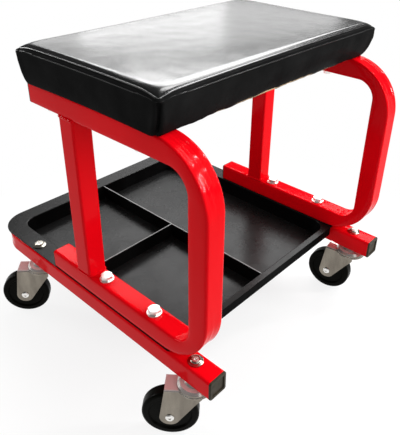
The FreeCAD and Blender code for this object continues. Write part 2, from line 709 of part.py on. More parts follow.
def divider(name, plane, low_end, high_end, shift, high_wall):
    """An upright strip across the recess. Its ends follow the sloping walls they meet."""
    body = new_body(name)
    sketch = new_sketch(body, plane, shift)
    top = TRAY_TOP - S.divider_drop
    low_top = low_end + wall_inset(S.divider_drop) + S.divider_gap
    low_foot = low_end + wall_inset(S.recess_depth - S.divider_notch) + S.divider_gap
    if high_wall:
        high_top = high_end - wall_inset(S.divider_drop) - S.divider_gap
        high_foot = high_end - wall_inset(S.recess_depth - S.divider_notch) - S.divider_gap
    else:
        high_top = high_end
        high_foot = high_end
    draw_polygon(sketch, [
        (low_foot + S.divider_notch, TRAY_FLOOR), (high_foot - S.divider_notch, TRAY_FLOOR),
        (high_foot, TRAY_FLOOR + S.divider_notch), (high_top, top),
        (low_top, top), (low_foot, TRAY_FLOOR + S.divider_notch)])
    pad(body, sketch, S.divider_sheet, symmetric=True)
    keep(body)


def dividers():
    divider(
        "tray_divider_long", "YZ", -RECESS_FRONT, RECESS_BACK,
        (0, 0, -S.divider_offset), True)
    divider(
        "tray_divider_cross", "XZ", -RECESS_HALF_WIDTH, -S.divider_offset - S.divider_sheet / 2,
        (0, 0, -DIVIDER_CROSS), False)


# fasteners of the frame

def hexagon_piece(name, corner_radius, height, bore=None, shank=None, shank_radius=None):
    """A hexagon with turned corners, with either a bore or a shank that hangs below it."""
    body = new_body(name)
    sketch = new_sketch(body, "XY")
    draw_hexagon(sketch, corner_radius)
    if bore:
        draw_circle(sketch, 0, 0, bore)
    pad(body, sketch, height)
    flat = corner_radius * math.cos(math.pi / HEX_SIDES)
    bite = corner_radius - flat
    rim = corner_radius + bite
    trim = new_sketch(body, "XZ")
    draw_polygon(trim, [(flat, height), (rim, height), (rim, height - bite)])
    revolve(body, "Groove", trim)
    if shank:
        sketch = new_sketch(body, "XY")
        draw_circle(sketch, 0, 0, shank_radius)
        pad(body, sketch, shank, reverse=True)
    return body


def ring(name, outer, inner, height):
    body = new_body(name)
    sketch = new_sketch(body, "XY")
    draw_circle(sketch, 0, 0, outer)
    draw_circle(sketch, 0, 0, inner)
    pad(body, sketch, height)
    return body


def frame_fasteners():
    bolts, washers, nuts = [], [], []
    head_seat = SIDE_BOTTOM + S.tube_width + S.washer_height
    nut_seat = BASE_BOTTOM - S.washer_height
    bolt_end = nut_seat - S.bolt_nut_height - S.bolt_end
    for sign in SIDE_SIGNS.values():
        for place_y in BOLT_PLACES:
            bolt = hexagon_piece(
                "frame_bolt", S.bolt_head_radius, S.bolt_head_height,
                shank=head_seat - bolt_end, shank_radius=S.bolt_radius)
            place(bolt, RAIL_X * sign, place_y, head_seat)
            bolts.append(bolt)
            nut = hexagon_piece("frame_nut", S.bolt_head_radius, S.bolt_nut_height, bore=S.bolt_radius)
            place(nut, RAIL_X * sign, place_y, nut_seat, HALF_TURN, Vector(1, 0, 0))
            nuts.append(nut)
            for level in (SIDE_BOTTOM + S.tube_width, nut_seat):
                washer = ring("frame_washer", S.washer_radius, BOLT_HOLE, S.washer_height)
                place(washer, RAIL_X * sign, place_y, level)
                washers.append(washer)
    group("frame_bolts", bolts)
    group("frame_nuts", nuts)
    group("frame_washers", washers)


# seat: board, padded cover and what holds them

def plan_wire(half_x, half_y, corner, pull, level):
    """A closed outline whose sides pull in between rounded corners, at one level."""
    diagonal = corner * (1 - math.sqrt(0.5))
    side_x = half_x - corner
    side_y = half_y - corner
    points = [
        (side_x, -half_y), (half_x - diagonal, -half_y + diagonal), (half_x, -side_y),
        (half_x - pull, 0),
        (half_x, side_y), (half_x - diagonal, half_y - diagonal), (side_x, half_y),
        (0, half_y - pull),
        (-side_x, half_y), (-half_x + diagonal, half_y - diagonal), (-half_x, side_y),
        (-half_x + pull, 0),
        (-half_x, -side_y), (-half_x + diagonal, -half_y + diagonal), (-side_x, -half_y),
        (0, -half_y + pull),
    ]
    corners = [Vector(x, y, level) for x, y in points]
    edges = []
    for start in range(0, len(corners), 2):
        end = corners[(start + 2) % len(corners)]
        edges.append(Part.Arc(corners[start], corners[start + 1], end).toShape())
    return Part.Wire(edges)


def cushion_form():
    """The padded cover's outer form: drawn-in sides and a crowned top, closed at both ends."""
    half_x = SEAT_HALF_LENGTH.value
    half_y = SEAT_HALF_DEPTH.value
    corner = S.cushion_corner.value
    pull = S.cushion_pull.value
    height = S.cushion_height.value
    crown_reach = half_y - S.crown_flat.value
    wires = []
    for height_share, draw_share in CUSHION_SIDE_SHARES:
        inset = S.cushion_draw.value * draw_share
        wires.append(plan_wire(half_x - inset, half_y - inset, corner, pull, height * height_share))
    for crown_share, inset_share in CUSHION_TOP_SHARES:
        inset = crown_reach * inset_share
        level = height + S.cushion_crown.value * crown_share
        wires.append(plan_wire(half_x - inset, half_y - inset, corner, pull, level))
    form = doc.addObject("Part::Feature", "cushion_form")
    form.Shape = Part.makeLoft(wires, True, True)
    place(form, 0, SEAT_PLACE, SIDE_TOP)
    return form


def board_blank(name, margin, thickness, level):
    """A flat blank of the board's outline, drawn in by a margin."""
    body = new_body(name)
    half_x = BOARD_HALF_LENGTH - margin
    half_y = BOARD_HALF_DEPTH - margin
    sketch = new_sketch(body, "XY")
    draw_box(sketch, -half_x, half_x, -half_y, half_y)
    shape = pad(body, sketch, thickness)
    dress(body, "Fillet", shape, edge_names(shape, lambda edge: runs_along(edge, UP)), S.board_corner)
    place(body, 0, SEAT_PLACE, level)
    return body


def seat_board(staples):
    """The plywood board, with holes for its tee nuts and slots where the staples are driven in."""
    body = board_blank("board_stock", 0, S.board_thickness, BOARD_BOTTOM)
    holes = new_sketch(body, "XY", (0, 0, S.board_thickness + S.overrun))
    for sign in SIDE_SIGNS.values():
        for place_y in SEAT_BOLT_PLACES:
            draw_circle(holes, RAIL_X * sign, place_y - SEAT_PLACE, S.tee_barrel_radius)
    pocket(body, holes, S.board_thickness + S.overrun * 2)
    board = doc.addObject("Part::Cut", "seat_board")
    board.Base = body
    board.Tool = staples
    keep(board, "seat_board")


def seat_cushion(staples):
    """The padded cover, hollowed for the board, the hem's opening, the tee nuts and what pierces it."""
    tools = [
        staples,
        board_blank("board_space", 0, S.board_thickness, BOARD_BOTTOM),
        board_blank("hem_opening", S.hem_width, S.hem + S.overrun, SIDE_TOP - S.overrun),
    ]
    for sign in SIDE_SIGNS.values():
        for place_y in SEAT_BOLT_PLACES:
            flange = doc.addObject("Part::Cylinder", "flange_space")
            bind(flange, "Radius", S.tee_flange_radius)
            bind(flange, "Height", S.tee_flange_height)
            place(flange, RAIL_X * sign, place_y, BOARD_TOP)
            hole = doc.addObject("Part::Cylinder", "bolt_space")
            bind(hole, "Radius", SEAT_BOLT_HOLE)
            bind(hole, "Height", S.hem + S.overrun * 2)
            place(hole, RAIL_X * sign, place_y, SIDE_TOP - S.overrun)
            tools += [flange, hole]
    spaces = doc.addObject("Part::MultiFuse", "cushion_spaces")
    spaces.Shapes = tools
    cushion = doc.addObject("Part::Cut", "seat_cushion")
    cushion.Base = cushion_form()
    cushion.Tool = spaces
    keep(cushion, "seat_cushion")


def seat_fasteners():
    bolts, washers, nuts = [], [], []
    washer_seat = SIDE_TOP - S.tube_width - S.seat_washer_height
    bolt_length = BOARD_TOP - washer_seat
    for sign in SIDE_SIGNS.values():
        for place_y in SEAT_BOLT_PLACES:
            bolt = hexagon_piece(
                "seat_bolt", S.seat_bolt_head_radius, S.seat_bolt_head_height,
                shank=bolt_length, shank_radius=S.seat_bolt_radius)
            place(bolt, RAIL_X * sign, place_y, washer_seat, HALF_TURN, Vector(1, 0, 0))
            bolts.append(bolt)
            washer = ring("seat_washer", S.seat_washer_radius, SEAT_BOLT_HOLE, S.seat_washer_height)
            place(washer, RAIL_X * sign, place_y, washer_seat)
            washers.append(washer)
            nut = turned("tee_nut", "XZ", [
                (S.seat_bolt_radius, -S.tee_barrel_depth), (S.tee_barrel_radius, -S.tee_barrel_depth),
                (S.tee_barrel_radius, 0), (S.tee_flange_radius, 0),
                (S.tee_flange_radius, S.tee_flange_height), (S.seat_bolt_radius, S.tee_flange_height)])
            place(nut, RAIL_X * sign, place_y, BOARD_TOP)
            nuts.append(nut)
    group("seat_bolts", bolts)
    group("seat_washers", washers)
    group("seat_tee_nuts", nuts)


def staple(x, y, turn):
    body = new_body("staple")
    half = S.staple_length / 2
    sketch = new_sketch(body, "XZ")
    draw_polygon(sketch, [
        (-half, -S.staple_wire), (half, -S.staple_wire), (half, S.staple_leg),
        (half - S.staple_wire, S.staple_leg), (half - S.staple_wire, 0),
        (S.staple_wire - half, 0), (S.staple_wire - half, S.staple_leg), (-half, S.staple_leg)])
    pad(body, sketch, S.staple_wire, symmetric=True)
    place(body, x, y, SIDE_TOP, turn)
    return body


def cover_staples():
    """Staples along the hem, clear of the rails that the seat rests on."""
    across = BOARD_HALF_LENGTH - S.hem_width - S.staple_inset
    half_y = BOARD_HALF_DEPTH - S.staple_inset
    staples = []
    for share in STAPLE_SHARES:
        for sign in SIDE_SIGNS.values():
            staples.append(staple(across * share, SEAT_PLACE + half_y * sign, 0))
    return group("cover_staples", staples)


# casters, each built in its own frame: swivel axis upright at the origin, trail along +X

def wheel(name):
    bore = S.bush_radius + S.running_gap
    foot = S.wheel_band_radius - S.wheel_band_slope
    half = [
        (bore, S.hub_half_width), (S.hub_radius, S.hub_half_width), (S.hub_radius, S.wheel_web_half_width),
        (foot, S.wheel_web_half_width), (S.wheel_band_radius, S.wheel_half_width),
        (S.wheel_radius, S.wheel_half_width),
    ]
    mirrored = [(radius, -side) for radius, side in reversed(half)]
    body = turned(name, "XY", half + mirrored, (S.trail, 0, S.wheel_radius))
    edges = edge_names(body.Tip, lambda edge: is_circle(edge, S.wheel_radius.value))
    dress(body, "Fillet", body.Tip, edges, S.wheel_edge)
    return body


def bush(name):
    half = S.fork_half_width - S.fork_sheet
    points = [(S.axle_radius, -half), (S.bush_radius, -half), (S.bush_radius, half), (S.axle_radius, half)]
    return turned(name, "XY", points, (S.trail, 0, S.wheel_radius))


def axle(name):
    seat = S.fork_half_width
    top = seat + S.axle_head_height
    low_top = top - S.axle_head_edge
    rim = S.axle_head_radius - S.axle_head_edge
    half = [
        (0, top - S.axle_dimple_depth), (S.axle_dimple_radius, top - S.axle_dimple_depth),
        (S.axle_dimple_radius, top), (rim, top), (S.axle_head_radius, low_top),
        (S.axle_head_radius, seat), (S.axle_radius, seat),
    ]
    mirrored = [(radius, -side) for radius, side in reversed(half)]
    return turned(name, "XY", half + mirrored, (S.trail, 0, S.wheel_radius))


def fork(name):
    body = new_body(name)
    foot = S.wheel_radius - S.fork_end_radius
    sketch = new_sketch(body, "XZ")
    waist = S.fork_front_drop + S.fork_rise * WAIST_SHARE
    draw_polygon(sketch, [
        (-S.fork_front, CROWN_TOP), (-S.fork_front, CROWN_TOP - S.fork_front_drop),
        (0, CROWN_TOP - waist), (S.fork_foot_front, foot), (S.fork_foot_back, foot),
        (S.fork_back, CROWN_TOP)])
    shape = pad(body, sketch, S.fork_half_width * 2, symmetric=True)
    shoulders = edge_names(
        shape, lambda edge: lies_at(edge, "z", CROWN_TOP.value)
        and lies_at(edge, "y", -S.fork_half_width.value, S.fork_half_width.value))
    shape = dress(body, "Fillet", shape, shoulders, S.fork_shoulder)
    along_y = Vector(0, 1, 0)
    feet = edge_names(shape, lambda edge: runs_along(edge, along_y) and lies_at(edge, "z", foot.value))
    dress(body, "Fillet", shape, feet, S.fork_end_radius * FOOT_ROUND_SHARE)

    inner = S.fork_half_width - S.fork_sheet
    gap = new_sketch(body, "XZ")
    draw_box(gap, -S.fork_front - S.overrun, S.fork_foot_back + S.overrun, 0, CROWN_TOP - S.fork_sheet)
    pocket(body, gap, inner * 2, symmetric=True)

    crown = new_sketch(body, "XY", (0, 0, CROWN_TOP - S.fork_sheet))
    draw_circle(crown, 0, 0, S.crown_radius)
    pad(body, crown, S.fork_sheet)

    groove = new_sketch(body, "XZ")
    draw_polygon(groove, [
        (S.ball_circle - S.ball_radius, CROWN_TOP), (S.ball_circle + S.ball_radius, CROWN_TOP),
        (S.ball_circle + S.ball_radius / 2, CROWN_TOP - S.ball_groove),
        (S.ball_circle - S.ball_radius / 2, CROWN_TOP - S.ball_groove)])
    revolve(body, "Groove", groove)

    hole = new_sketch(body, "XY", (0, 0, CROWN_TOP + S.overrun))
    draw_circle(hole, 0, 0, S.stem_radius + S.running_gap)
    pocket(body, hole, S.fork_sheet + S.overrun * 2)
    eyes = new_sketch(body, "XZ")
    draw_circle(eyes, S.trail, S.wheel_radius, S.axle_radius)
    pocket(body, eyes, (S.fork_half_width + S.overrun) * 2, symmetric=True)
    return body


def raceway(name):
    ceiling = CROWN_TOP - S.ball_groove + S.ball_radius * 2 + S.ball_gap
    foot = CROWN_TOP + S.raceway_gap
    roof = ceiling + S.raceway_sheet
    inner_rim = S.raceway_radius - S.raceway_rim
    return turned(name, "XZ", [
        (S.stem_radius, ceiling), (S.ball_circle + S.ball_radius, ceiling), (inner_rim, foot),
        (S.raceway_radius, foot), (S.raceway_radius, foot + S.raceway_rim),
        (S.raceway_radius - S.raceway_slope, roof), (S.raceway_hub + S.raceway_slope, roof),
        (S.raceway_hub, BASE_BOTTOM), (S.stem_radius, BASE_BOTTOM)])


def balls(name):
    spheres = []
    level = CROWN_TOP - S.ball_groove + S.ball_radius
    for index in range(BALL_COUNT):
        angle = math.radians(FULL_TURN * index / BALL_COUNT)
        sphere = doc.addObject("Part::Sphere", name + "_ball")
        bind(sphere, "Radius", S.ball_radius)
        place(sphere, S.ball_circle * math.cos(angle), S.ball_circle * math.sin(angle), level)
        spheres.append(sphere)
    compound = doc.addObject("Part::Compound", name)
    compound.Links = spheres
    compound.Label = name
    return compound


def stem(name, nut_seat):
    top = nut_seat + S.nut_height - S.stem_recess
    head_top = CROWN_TOP - S.fork_sheet - S.stem_head_gap
    foot = head_top - S.stem_head_height
    return turned(name, "XZ", [
        (0, foot), (S.stem_head_radius - S.stem_head_edge, foot),
        (S.stem_head_radius, foot + S.stem_head_edge), (S.stem_head_radius, head_top),
        (S.stem_radius, head_top), (S.stem_radius, top - S.stem_tip),
        (S.stem_radius - S.stem_tip, top), (S.stem_dimple_radius, top),
        (S.stem_dimple_radius, top - S.stem_dimple_depth), (0, top - S.stem_dimple_depth)])


def caster_nut(name, seat):
    """A low domed flange nut, open at the top where the stem ends."""
    top = seat + S.nut_height
    return turned(name, "XZ", [
        (S.stem_radius, seat), (S.nut_flange_radius, seat),
        (S.nut_flange_radius, seat + S.nut_flange_height),
        (S.nut_dome_radius, seat + S.nut_flange_height * 2), (S.nut_dome_radius, top - S.nut_top_drop),
        (S.nut_top_radius, top), (S.stem_radius, top)])


def caster(corner):
    sign_x, sign_y = CASTER_SIDES[corner]
    nut_seat = BASE_TOP if sign_y < 0 else TRAY_TOP
    pieces = [
        wheel("caster_wheel_" + corner),
        bush("caster_bush_" + corner),
        axle("caster_axle_" + corner),
        fork("caster_fork_" + corner),
        raceway("caster_raceway_" + corner),
        balls("caster_balls_" + corner),
        stem("caster_stem_" + corner, nut_seat),
        caster_nut("caster_nut_" + corner, nut_seat),
    ]
    for piece in pieces:
        place(piece, CASTER_X * sign_x, S.caster_reach * sign_y, 0, CASTER_DEGREES[corner])
        keep(piece)


def check_document():
    """Stops if an object failed or a node has no sound shape."""
    for item in doc.Objects:
        if "Invalid" in item.State or "Error" in item.State:
            raise RuntimeError(f"{item.Label} is {item.State}")
    for part in parts:
        if part.Shape.isNull() or not part.Shape.isValid():
            raise RuntimeError(f"{part.Label} has no valid shape")


def write_parts():
    os.makedirs("parts", exist_ok=True)
    for part in parts:
        part.Shape.exportStep(os.path.join("parts", part.Label + ".step"))
    print(len(parts), "nodes written")


base_frame()
for side_name, side_sign in SIDE_SIGNS.items():
    side_tube(side_name, side_sign)
    upright(side_name, side_sign)
plugs()
tray()
dividers()
frame_fasteners()
driven_staples = cover_staples()
seat_board(driven_staples)
seat_cushion(driven_staples)
seat_fasteners()
for corner_name in CASTER_DEGREES:
    caster(corner_name)
doc.recompute()
check_document()
write_parts()
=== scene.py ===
import json
import math

import bmesh
import bpy
import numpy as np
from mathutils import Matrix, Vector, noise


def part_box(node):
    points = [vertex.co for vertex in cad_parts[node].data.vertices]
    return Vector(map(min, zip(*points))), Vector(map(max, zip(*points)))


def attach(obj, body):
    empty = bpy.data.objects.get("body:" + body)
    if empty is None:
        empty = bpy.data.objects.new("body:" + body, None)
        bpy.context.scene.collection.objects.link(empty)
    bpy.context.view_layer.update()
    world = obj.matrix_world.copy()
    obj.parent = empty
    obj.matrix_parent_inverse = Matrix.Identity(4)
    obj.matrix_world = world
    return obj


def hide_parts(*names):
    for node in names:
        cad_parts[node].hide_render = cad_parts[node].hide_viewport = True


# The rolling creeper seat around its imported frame. Everything is in metres, in the frame's axes:
# +X along the seat, +Y to the closed back of the base frame, +Z up from the floor.

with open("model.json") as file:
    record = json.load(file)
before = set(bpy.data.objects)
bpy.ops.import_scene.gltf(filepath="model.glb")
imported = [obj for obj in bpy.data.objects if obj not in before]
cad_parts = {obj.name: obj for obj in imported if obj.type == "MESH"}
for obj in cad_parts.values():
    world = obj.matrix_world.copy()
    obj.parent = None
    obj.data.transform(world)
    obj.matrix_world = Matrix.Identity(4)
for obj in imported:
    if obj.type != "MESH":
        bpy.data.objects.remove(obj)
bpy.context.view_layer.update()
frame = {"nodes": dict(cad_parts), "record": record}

MM = 0.001
ROOT = "frame"
SIDES = {"left": -1, "right": 1}
UP = np.array((0, 0, 1))

# square tube
TUBE = 25 * MM
TUBE_HALF = TUBE / 2
TUBE_WALL = 1.5 * MM
TUBE_CORNER = 3 * MM


# materials

UP_LIMITS = (0.3, 0.9)  # upward share of a face's normal, from upright to looking up


def feed(tree, source, socket):
    """Gives a socket a number or a colour, or links it to another node's output."""
    if isinstance(source, float):
        socket.default_value = source
    elif isinstance(source, tuple):
        socket.default_value = (*source, 1)
    else:
        tree.links.new(source, socket)


def grey(value):
    return (value, value, value)


def add_node(tree, kind, **values):
    """A shader node, with its sockets and settings by name."""
    node = tree.nodes.new("ShaderNode" + kind)
    for key, value in values.items():
        if key in node.inputs:
            node.inputs[key].default_value = value
        else:
            setattr(node, key, value)
    return node


def map_range(tree, value, start, end, low, high, **settings):
    """Runs from low to high as a value runs from start to end."""
    node = add_node(tree, "MapRange", **settings)
    for socket, limit in (("From Min", start), ("From Max", end), ("To Min", low), ("To Max", high)):
        node.inputs[socket].default_value = limit
    feed(tree, value, node.inputs["Value"])
    return node.outputs["Result"]


class Nodes:
    """A node material with short ways to add what most of them need."""

    def __init__(self, name, **sockets):
        self.material = bpy.data.materials.new(name)
        self.material.use_nodes = True
        self.tree = self.material.node_tree
        self.shader = self.tree.nodes["Principled BSDF"]
        for key, value in sockets.items():
            self.shader.inputs[key.replace("_", " ")].default_value = value
        self.coords = self.add("TexCoord").outputs["Object"]

    def add(self, kind, **values):
        return add_node(self.tree, kind, **values)

    def link(self, source, target):
        self.tree.links.new(source, target)

    def stretched(self, scale):
        mapping = self.add("Mapping", Scale=scale)
        self.link(self.coords, mapping.inputs["Vector"])
        return mapping.outputs["Vector"]

    def noise(self, scale, detail=3.0, rough=0.55, stretch=None, distortion=0.0):
        node = self.add("TexNoise", Scale=scale, Detail=detail, Roughness=rough, Distortion=distortion)
        self.link(self.stretched(stretch) if stretch else self.coords, node.inputs["Vector"])
        return node.outputs["Fac"]

    def cells(self, scale):
        node = self.add("TexVoronoi", Scale=scale)
        self.link(self.coords, node.inputs["Vector"])
        return node.outputs["Distance"]

    def span(self, value, low, high, start=0.3, end=0.7):
        return map_range(self.tree, value, start, end, low, high)

    def colours(self, value, first, second, start=0.3, end=0.7):
        """Runs from one colour to another as a texture runs from start to end."""
        node = self.add("ValToRGB")
        for element, place, colour in zip(node.color_ramp.elements, (start, end), (first, second)):
            element.position = place
            element.color = (*colour, 1)
        self.link(value, node.inputs["Fac"])
        return node.outputs["Color"]

    def bump(self, height, strength, distance, below=None):
        node = self.add("Bump", Strength=strength, Distance=distance)
        self.link(height, node.inputs["Height"])
        if below is not None:
            self.link(below, node.inputs["Normal"])
        return node.outputs["Normal"]

    def facing_up(self, side, top):
        """A number that runs from its value on upright faces to its value on faces that look up."""
        parts = self.add("SeparateXYZ")
        self.link(self.add("TexCoord").outputs["Normal"], parts.inputs[0])
        return self.span(parts.outputs["Z"], side, top, *UP_LIMITS)

    def mixed(self, share, first, second, blend="MIX"):
        """Two colours mixed. The numbers are the colour sockets of Blender's Mix node."""
        node = self.add("Mix", data_type="RGBA", blend_type=blend)
        for index, source in ((0, share), (6, first), (7, second)):
            feed(self.tree, source, node.inputs[index])
        return node.outputs[2]

    def set(self, socket, source):
        self.link(source, self.shader.inputs[socket])


def red_paint():
    """Thick glossy powder coat: a little orange peel under a clear, even gloss."""
    n = Nodes("red_powder_coat", Specular_IOR_Level=0.04)
    tone = n.noise(9.0, detail=2.0)
    n.set("Base Color", n.colours(tone, (0.70, 0.001, 0.005), (0.80, 0.002, 0.007)))
    n.set("Roughness", n.span(n.noise(60.0), 0.06, 0.10))
    peel = n.bump(n.noise(420.0, detail=2.0), 0.05, 0.6 * MM)
    n.set("Normal", n.bump(n.noise(45.0, detail=2.0), 0.08, 1.2 * MM, peel))
    return n.material


def black_paint(name, low, high):
    """Satin black paint on pressed sheet, glossier where it faces up, and with painted light that makes it a
    little paler there.
    """
    n = Nodes(name)
    dust_and_light_mottle = n.noise(14.0, detail=5.0, rough=0.65)
    plain = n.colours(dust_and_light_mottle, grey(0.002), grey(0.004), start=0.35, end=0.75)
    # painted light: faces that look up get this paler tone in place of the plain black
    painted_top_light = n.colours(dust_and_light_mottle, grey(low), grey(high), start=0.35, end=0.75)
    n.set("Base Color", n.mixed(n.facing_up(0.0, 1.0), plain, painted_top_light))
    n.set("Roughness", n.span(n.noise(38.0, detail=4.0), 0.22, 0.32))
    n.set("Specular IOR Level", n.facing_up(0.006, 0.11))
    n.set("Normal", n.bump(n.noise(650.0, detail=2.0), 0.10, 0.3 * MM))
    return n.material


def black_plastic():
    """Moulded end plugs, matt and a little brown."""
    n = Nodes("black_plug_plastic", Specular_IOR_Level=0.12)
    n.set("Base Color", n.colours(n.noise(120.0), (0.027, 0.022, 0.014), (0.045, 0.036, 0.023)))
    n.set("Roughness", n.span(n.noise(90.0), 0.42, 0.58))
    n.set("Normal", n.bump(n.cells(900.0), 0.14, 0.25 * MM))
    return n.material


def vinyl(name, dark, light, low, high, grain, **gloss):
    """Supple black vinyl with a fine pressed grain."""
    n = Nodes(name, **gloss)
    n.set("Base Color", n.colours(n.noise(26.0), grey(dark), grey(light)))
    n.set("Roughness", n.span(n.noise(55.0, detail=4.0), low, high))
    pressed = n.bump(n.cells(850.0), grain, 0.20 * MM)
    n.set("Normal", n.bump(n.noise(300.0, detail=3.0), 0.75 * grain, 0.3 * MM, pressed))
    return n.material


def thread():
    """Waxed black thread with a fine uneven surface."""
    n = Nodes("black_thread", Roughness=0.35, Specular_IOR_Level=0.8)
    n.set("Base Color", n.colours(n.noise(900.0), (0.012, 0.012, 0.013), (0.03, 0.03, 0.032)))
    n.set("Normal", n.bump(n.noise(1800.0, stretch=(1, 1, 3)), 0.5, 0.2 * MM))
    return n.material


def zinc(name, dark, light, low, high, stretch=None, pale=None):
    """Bright zinc plating, clouded in patches or streaks. Where pale is given, faces that look up get
    painted light: a paler, less metallic surface in place of a bright reflection.
    """
    n = Nodes(name, Metallic=1.0)
    tone = n.colours(n.noise(70.0, detail=4.0, stretch=stretch), dark, light)
    # painted light: a paler colour and less metal on faces that look up
    if pale:
        tone = n.mixed(n.facing_up(0.0, 1.0), tone, pale)
        n.set("Metallic", n.facing_up(1.0, 0.35))
    n.set("Base Color", tone)
    n.set("Roughness", n.span(n.noise(130.0, detail=4.0, rough=0.7), low, high))
    n.set("Normal", n.bump(n.noise(500.0, detail=3.0), 0.10, 0.2 * MM))
    return n.material


def wheel_plastic():
    """Glossy moulded black polymer, scuffed in patches."""
    n = Nodes("black_wheel", Specular_IOR_Level=0.03)
    n.set("Base Color", n.colours(n.noise(50.0), (0.002, 0.002, 0.001), (0.004, 0.004, 0.003)))
    n.set("Roughness", n.span(n.noise(85.0, detail=5.0), 0.22, 0.36))
    n.set("Normal", n.bump(n.noise(260.0, detail=3.0), 0.10, 0.3 * MM))
    return n.material


def plywood():
    """Birch plywood: long grain on the faces, thin plies at the edges."""
    n = Nodes("plywood", Roughness=0.62)
    grain = n.noise(55.0, detail=6.0, rough=0.6, stretch=(0.10, 1.0, 1.0), distortion=0.6)
    face = n.colours(grain, (0.42, 0.27, 0.14), (0.60, 0.43, 0.25), start=0.35, end=0.65)
    plies = n.add("TexWave", wave_type="BANDS", bands_direction="Z", Scale=115.0, Distortion=0.4)
    n.link(n.coords, plies.inputs["Vector"])
    shade = n.colours(plies.outputs["Fac"], grey(0.55), grey(1.0), start=0.45, end=0.55)
    n.set("Base Color", n.mixed(0.6, face, shade, blend="MULTIPLY"))
    n.set("Normal", n.bump(grain, 0.25, 0.4 * MM))
    return n.material


MATERIALS = {
    "red_paint": red_paint(),
    # painted light: the tray's paint is paler on faces that look up
    "black_paint": black_paint("black_satin_paint_painted_top_light", 0.007, 0.012),
    "black_plastic": black_plastic(),
    "black_vinyl": vinyl("black_vinyl_side", 0.006, 0.012, 0.24, 0.30, 0.16, Specular_IOR_Level=0.003),
    "plywood": plywood(),
    "zinc": zinc("zinc_fasteners", (0.80, 0.79, 0.76), (0.93, 0.92, 0.89), 0.34, 0.48),
    # partly painted shade: the casters' zinc is darker than bright plating, standing in for the dim
    # surroundings it mirrors
    "caster_zinc": zinc("zinc_casters_painted_shade", (0.17, 0.15, 0.125), (0.29, 0.26, 0.215), 0.14, 0.26,
                        stretch=(1, 1, 0.25), pale=(0.90, 0.86, 0.83)),
    "wheel_plastic": wheel_plastic(),
}
TOP_VINYL = vinyl("black_vinyl_top", 0.002, 0.005, 0.17, 0.21, 0.12, Specular_IOR_Level=0.8)
EDGE_VINYL = vinyl("black_vinyl_edge", 0.002, 0.005, 0.13, 0.17, 0.05, Specular_IOR_Level=1.0)
RIDGE_VINYL = vinyl("black_vinyl_ridge", 0.003, 0.007, 0.22, 0.28, 0.12, Specular_IOR_Level=0.15)
THREAD = thread()
OWN_MATERIALS = {  # by the start of a node's name, in place of its slot's material
    # painted highlight: the dividers' upward faces, their top edges, are painted pale grey
    "tray_divider": black_paint("black_paint_painted_highlight", 0.16, 0.26),
    "caster_axle": MATERIALS["zinc"],
    # partly painted shade: the nuts' zinc is darkened, standing in for the dim surroundings it mirrors
    "caster_nut": zinc("zinc_nuts_painted_shade", (0.30, 0.28, 0.24), (0.50, 0.47, 0.41), 0.16, 0.26),
}
SLOT_OF = {row["node"]: row["material_slot"] for row in frame["record"]["subparts"]}


def dress_cad_nodes():
    """Gives every CAD node its own material or the one of its slot."""
    for name, node in frame["nodes"].items():
        node.data.materials.clear()
        own = [material for start, material in OWN_MATERIALS.items() if name.startswith(start)]
        node.data.materials.append(own[0] if own else MATERIALS[SLOT_OF[name]])


def new_object(name, data):
    thing = bpy.data.objects.new(name, data)
    bpy.context.scene.collection.objects.link(thing)
    return thing


def new_piece(name, points, faces, material):
    """A mesh piece from points and faces, with its normals turned outwards."""
    mesh = bpy.data.meshes.new(name)
    mesh.from_pydata([tuple(point) for point in points], [], faces)
    build = bmesh.new()
    build.from_mesh(mesh)
    bmesh.ops.recalc_face_normals(build, faces=build.faces)
    build.to_mesh(mesh)
    build.free()
    mesh.materials.append(material)
    mesh.shade_smooth()
    return new_object(name, mesh)


def show(piece, replaces=()):
    """Ties a finished piece to the frame, and hides the nodes that it stands in for."""
    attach(piece, ROOT)
    if replaces:
        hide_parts(*replaces)


def ring_points(centre, out, up, sides):
    """Points round a rope. Out and up are its spokes to the first point and a quarter turn on."""
    turns = [2 * math.pi * step / sides for step in range(sides)]
    return [centre + out * math.cos(turn) + up * math.sin(turn) for turn in turns]


def band_faces(here, there, around):
    """Faces between two rings of points, which are numbered from here and from there."""
    steps = [(step, (step + 1) % around) for step in range(around)]
    return [(here + step, here + following, there + following, there + step) for step, following in steps]


def ring_faces(rings, around, first=0, closed=False):
    """Faces between neighbouring rings of points, which are numbered from first."""
    faces = []
    for index in range(rings if closed else rings - 1):
        faces += band_faces(first + index * around, first + (index + 1) % rings * around, around)
    return faces


def ramp(value):
    """A smooth step from 0 to 1."""
    value = np.clip(value, 0, 1)
    return value * value * (3 - 2 * value)


def hump(distance, width):
    """1 at no distance, falling away smoothly over a width."""
    return np.exp(-(distance / width) ** 2)


# bent square tubes, with the outer wall sunk and both walls rippled where the press bent them

SIDE_BENDS = (66 * MM, 23 * MM)  # outer and inner radius
BASE_BENDS = (50 * MM, 24 * MM)
BEND_STEPS = 30
STRAIGHT_STEP = 9 * MM
SHARP_EDGE = 50  # degrees, above which an edge stays crisp
FACE_LEVEL = 0.7  # share of the tube's half depth beyond which a point is on the outer or inner face
SINK = 1.5 * MM  # the outer face
SINK_POWER = 0.8
BULGE = 0.5 * MM  # the side faces
SWELL = 1.4 * MM  # the inner face
END_CRUSH = 0.35  # share of all these at the ends of a bend
CRUSH_EASE = 0.22  # share of the bend over which they grow to the whole
CRUSH_RUN_OUT = 14 * MM  # past the bend
RIPPLE = 0.10 * MM
STREAKS = ((9.5, 1.0, 1.0), (17, 0.6, 2.3), (26, 0.3, 1.0))  # rate across, size and the seed's factor
OUTER_WAVES = ((0.45 * MM, 2.4, 55, 0),)  # size, rate across, rate along and what is added to the seed
INNER_WAVES = ((0.8 * MM, 1.5, 80, 5), (0.55 * MM, 3.5, 190, 9))
FACE_STEPS = (32, 4, 14, 4)  # on the outer face, a side, the inner face and the other side
CORNER_STEPS = 4


